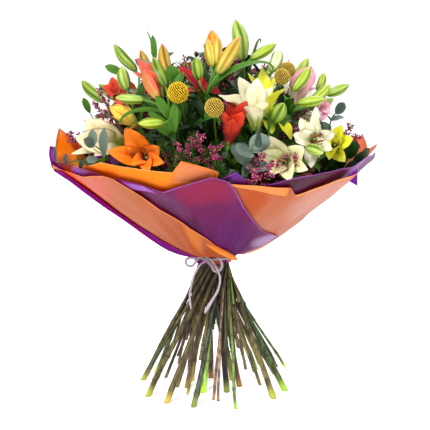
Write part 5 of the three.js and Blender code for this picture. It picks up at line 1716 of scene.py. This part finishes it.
def folds(r, a):
    """Creases that every sheet shares, so that the pile stays apart: sharp ones run out from the neck."""
    grown = smooth(r, 40, 210)
    total = np.zeros_like(r + a)
    for k, (count, depth) in enumerate([(7, 1.5), (13, 0.9), (29, 0.4)]):
        wander = 0.35 * np.sin(r / (34 + 9 * k) + 2.1 * k + 3 * a)
        wave = (count * a / (2 * np.pi) + wander + 0.37 * k) % 1
        total = total + depth * (np.abs(wave - 0.5) * 4 - 1)
    return total * grown


def collar_point(drop, a, layer):
    """A point of the crimped film round the tie, at a distance down from the foot of the bowl."""
    step = layer - LOWEST_LAYER
    crimp = 0.35 * np.abs(np.sin(19 * a)) + 0.2 * np.sin(31 * a)
    radius = COLLAR_R + step * NECK_LAYER + crimp * 0.6
    z = np.where(drop > COLLAR_BEND, BOWL_Z - drop, BOWL_Z - COLLAR_BEND - step * COLLAR_STEP)
    return np.stack([radius * np.cos(a), radius * np.sin(a), z], -1)


def film_grid(sheet):
    """The points of a sheet, from the collar to the rim and from its left edge to its right, and their marks."""
    rim = sheet["rim"]
    left_end, right_end = rim[0][0], rim[-1][0]
    columns = max(12, int((right_end - left_end) / FILM_STEP_DEGREES))
    corners = np.array([row[0] for row in rim], float)
    degrees = np.sort(np.concatenate([np.linspace(left_end, right_end, columns), corners[1:-1]]))
    degrees = degrees[np.concatenate([[True], np.diff(degrees) > 0.3])]
    rim_r = np.interp(degrees, corners, [row[1] for row in rim])
    lift = np.interp(degrees, corners, [row[2] if len(row) > 2 else 0 for row in rim])
    share = (degrees - left_end) / (right_end - left_end)

    def place_at(r):
        r = np.full_like(degrees, r)
        return mix(straight(sheet["left"], r), straight(sheet["right"], r), share)

    def bowl_row(r, place):
        return bowl_point(r, np.radians(place), layer_at(sheet, place))

    drops = (COLLAR_DROP, 12, 7, COLLAR_BEND)
    neck = place_at(COLLAR_R)
    places_round = [neck] * len(drops)
    rows = [collar_point(drop, np.radians(neck), layer_at(sheet, neck)) for drop in drops]
    first, last = BOWL_ROWS
    for r in np.linspace(first, last, 38):
        places_round.append(place_at(r))
        rows.append(bowl_row(np.full_like(degrees, r), places_round[-1]))
    start = place_at(last)
    for t in np.linspace(0, 1, 16)[1:]:
        places_round.append(mix(start, degrees, t))
        rows.append(bowl_row(mix(last, rim_r, t), places_round[-1]))
        rows[-1][:, 2] += lift * t ** 1.5
    grid = np.stack(rows)
    steps = np.linalg.norm(np.diff(grid, axis=0), axis=2)
    to_rim = np.concatenate([np.cumsum(steps[::-1], axis=0)[::-1], np.zeros((1, grid.shape[1]))])
    across = np.linalg.norm(np.diff(grid, axis=1), axis=2)
    from_left = np.concatenate([np.zeros((len(grid), 1)), np.cumsum(across, axis=1)], axis=1)
    to_edge = np.minimum(np.minimum(from_left, from_left[:, -1:] - from_left), to_rim)
    return grid, film_marks(np.linalg.norm(grid[..., :2], axis=2), to_edge, np.stack(places_round))


def film_marks(distance, to_edge, degrees):
    """The film's marks: how far from the axis, how far from an edge, and where round the bowl."""
    return np.stack([distance / FILM_REACH, np.clip(to_edge / EDGE_REACH, 0, 1), degrees / 360], -1)


# Where the edge of the front sheet is rolled up towards the neck, as places in the picture with a depth.
ROLL = [(204, 242, -103), (214, 248, -97), (224, 253, -87), (231, 256.5, -72), (236, 259, -62)]
ROLL_RADII = [0.5, 2.2, 3.4, 4.2, 4.6, 4.5, 4.3, 4.0, 2.6]

# Corners of film folded down over a sheet, each as (sheet, look, corners). The corners are the inner left, inner
# right, outer left and outer right one, each by its distance from the axis and its degrees round the bowl.
FLAPS = [
    ("film_orange_right", 1, [(210, -83), (204, -60.4), (214, -83), (218.5, -61.2)]),
    ("film_orange_right", 1, [(204, -56.6), (238, -36), (207, -57), (247, -35)]),
    ("film_purple_front", 2, [(214, -121.5), (205, -111), (232, -123), (221, -115.5)]),
    ("film_orange_inside", 1, [(214, 254), (206, 266), (250, 260), (226, 271)]),
]
FLAP_OUT = 0.14  # how far out of its sheet a flap lies, in layers

# The corner of a purple sheet that hangs out behind the bowl's right end, as places in the picture with a depth.
CORNER = [(344, 176, -104), (357.5, 168, -88), (345, 179, -104), (357.5, 186, -88)]
CORNER_LOOK = 3


def add_flap(shape, sheet, look, corners):
    (r0, a0), (r1, a1), (r2, a2), (r3, a3) = corners
    t = np.linspace(0, 1, 12)[:, None]
    s = np.linspace(0, 1, 14)[None]
    r = mix(mix(r0, r1, s), mix(r2, r3, s), t)
    degrees = mix(mix(a0, a1, s), mix(a2, a3, s), t)
    to_edge = np.minimum(np.minimum(s, 1 - s) * np.radians(abs(a1 - a0)) * r, np.minimum(t, 1 - t) * abs(r2 - r0))
    grid = bowl_point(r, np.radians(degrees), layer_at(sheet, degrees) + FLAP_OUT)
    sheet_solid(shape, grid, film_marks(r, to_edge, degrees), FILM_THICK / 2, look)


def add_corner(shape):
    a, b, c, d = (seen(*spot) for spot in CORNER)
    t = np.linspace(0, 1, 9)[:, None, None]
    s = np.linspace(0, 1, 9)[None, :, None]
    grid = mix(mix(a, b, s), mix(c, d, s), t)
    near = np.minimum(np.minimum(t, 1 - t), np.minimum(s, 1 - s))[..., 0]
    marks = np.stack([np.full_like(near, 0.9), np.clip(near * 2, 0, 1), np.full_like(near, -0.1)], -1)
    sheet_solid(shape, grid, marks, FILM_THICK, CORNER_LOOK)


def add_roll(shape):
    u = np.linspace(0, 1, 28)
    line = smooth_route([seen(*spot) for spot in ROLL], len(u))
    radii = curve_through(np.linspace(0, 1, len(ROLL_RADII)), ROLL_RADII, u)
    tube(shape, line, radii, 12, tone=-0.3)


for sheet in SHEETS:
    name = sheet["name"]
    grid, marks = film_grid(sheet)
    shape = Shape()
    sheet_solid(shape, grid, marks, FILM_THICK)
    if name == "film_orange_front":
        add_roll(shape)
    for flapped, look, corners in FLAPS:
        if flapped == name:
            add_flap(shape, sheet, look, corners)
    if name == "film_purple_right":
        add_corner(shape)
    slot = name.rsplit("_", 1)[0]  # the colour of the film
    piece = place(shape, name + "_fine", [FILMS[name], *FLAP_LOOKS], slot, name)

# ---------------------------------------------------------------- the raffia tie

KNOT = np.array([-10, -31.6, 206])
# Places in the picture with a depth, and a width in millimetres.
BOW_LOOPS = [
    (
        [
            (204, 256, -37), (197, 260, -40), (191.5, 266, -42), (187, 265, -43), (186, 260, -43), (190, 257.5, -42),
            (196, 258.5, -40), (204, 257, -37),
        ],
        3.8,
    ),
    (
        [
            (204, 256, -37), (211, 255.5, -41), (218, 258, -44), (222, 264, -45), (220.5, 270, -45), (217, 272, -44),
            (211, 266, -42), (204, 257, -37),
        ],
        3.6,
    ),
    (
        [
            (204, 257, -37), (209, 259, -41), (214, 264, -43), (218, 270, -44), (216, 271.5, -44), (210, 264, -42),
            (205, 258, -37),
        ],
        3.0,
    ),
]
# The tails are places in millimetres, and the widths are shares of the raffia's.
TAILS = {
    "raffia_tail_left": [
        [-13, -38.5, 203], [-19, -45, 200], [-27, -45, 188], [-33, -40, 168], [-35, -42, 150], [-33, -43, 132],
    ],
    "raffia_tail_right": [
        [-7, -38.5, 203], [2, -45, 198], [10, -45, 182], [8, -42, 162], [-2, -49, 145], [-12, -54, 128],
    ],
}
TAIL_WIDTHS = [(0.85, 0.8, 0.8, 0.8, 0.6), (0.85, 0.8, 1.1, 1.5, 1.1)]
BANDS = [(-1.4, 0.4, 1.5), (-0.4, -0.4, 1.6)]  # turns round the neck: their height, tilt and width
KNOT_AXES = [[0, 0, 4.6], [4.0, 0, 0], [0, 3.9, 0]]


def ribbon(shape, line, upper, width, thick, cup, tone):
    blade(shape, line, upper, np.broadcast_to(width, len(line)), thick, cup=cup, columns=5, tone=tone)


tie = Shape()
angles = np.linspace(0, 2 * np.pi, 97)
outward = np.stack([np.cos(angles), np.sin(angles), 0 * angles], 1)
for k, (height, tilt, width) in enumerate(BANDS):
    r = BAND_R + 0.5 + 0.55 * k
    wave = height + tilt * np.sin(angles + k) + 0.25 * np.sin(5 * angles + k)
    line = np.stack([r * np.cos(angles), r * np.sin(angles), NECK_Z + wave], 1)
    ribbon(tie, line, outward, width, 0.5, 0.05, chance(k, 40))
ball = lathe([[0.2, -1], [0.7, -0.72], [0.98, -0.2], [0.98, 0.2], [0.7, 0.72], [0.2, 1]], 14)
copies(tie, ball, [np.array(KNOT_AXES, float)], [KNOT], [0.5])
for k in range(3):
    a = np.linspace(-2.2, 2.2, 14)
    line = KNOT + np.stack([np.full_like(a, 2.0 * (k - 1)), -4.5 * np.cos(a * 0.8), 4.3 * np.sin(a * 0.8)], 1)
    ribbon(tie, line, line - KNOT, 2.2, 0.5, 0.12, chance(k, 41))
for k, (loop, width) in enumerate(BOW_LOOPS):
    line = smooth_route([seen(*spot) for spot in loop], 40)
    upper = np.stack([0.5 * np.sin(np.linspace(0, 5, 40) + k), -np.ones(40), 0.25 * np.ones(40)], 1)
    ribbon(tie, line, upper, width, 0.6, 0.18, chance(k, 42))
place(tie, "raffia_bow_fine", [RAFFIA_LOOK], "raffia", "raffia_bow")

for k, (name, route) in enumerate(TAILS.items()):
    line = smooth_route(route, 48)
    u = np.linspace(0, 1, len(line))
    shape = Shape()
    upper = np.stack([0.5 * np.sin(4 * u + k), -np.ones_like(u), 0.1 * u], 1)
    width = RAFFIA_WIDTH * np.interp(u, [0, 0.5, 0.75, 0.9, 1], TAIL_WIDTHS[k]) * (1 - 0.15 * np.sin(14 * u + k) ** 2)
    blade(shape, line, upper, width, 0.8, cup=0.22, ruffle=0.05, waves=5, tone=chance(k, 43))
    piece = place(shape, name + "_fine", [RAFFIA_LOOK], "raffia", name)

# ---------------------------------------------------------------- the floor, the light and the output

bpy.ops.mesh.primitive_plane_add(size=400, location=(0, 0, 0))
floor = bpy.context.object
floor.name = "floor"
floor_look = bpy.data.materials.new("floor")
floor_look.use_nodes = True
floor_inputs = floor_look.node_tree.nodes["Principled BSDF"].inputs
floor_inputs["Base Color"].default_value = (0.94, 0.94, 0.94, 1)
floor_inputs["Roughness"].default_value = 0.9
floor_inputs["Emission Color"].default_value = (1, 1, 1, 1)
floor_inputs["Emission Strength"].default_value = 0.45
floor.data.materials.append(floor_look)


def add_light(name, at, towards, size, power):
    data = bpy.data.lights.new(name, "AREA")
    data.size = size
    data.energy = power
    light = bpy.data.objects.new(name, data)
    light.location = at
    light.rotation_euler = (Vector(towards) - Vector(at)).to_track_quat("-Z", "Y").to_euler()
    bpy.context.scene.collection.objects.link(light)


add_light("key", (-0.9, -1.7, 2.0), (0, 0, 0.35), 0.8, 66)
add_light("fill", (1.7, -1.3, 1.0), (0, 0, 0.3), 1.2, 18)
add_light("rim", (0.4, 1.6, 1.8), (0, 0, 0.35), 1.2, 26)

world = bpy.data.worlds.new("world")
world.use_nodes = True
world_inputs = world.node_tree.nodes["Background"].inputs
world_inputs["Color"].default_value = (1, 1, 1, 1)
world_inputs["Strength"].default_value = 0.62
bpy.context.scene.world = world
bpy.context.scene.view_settings.view_transform = "Standard"
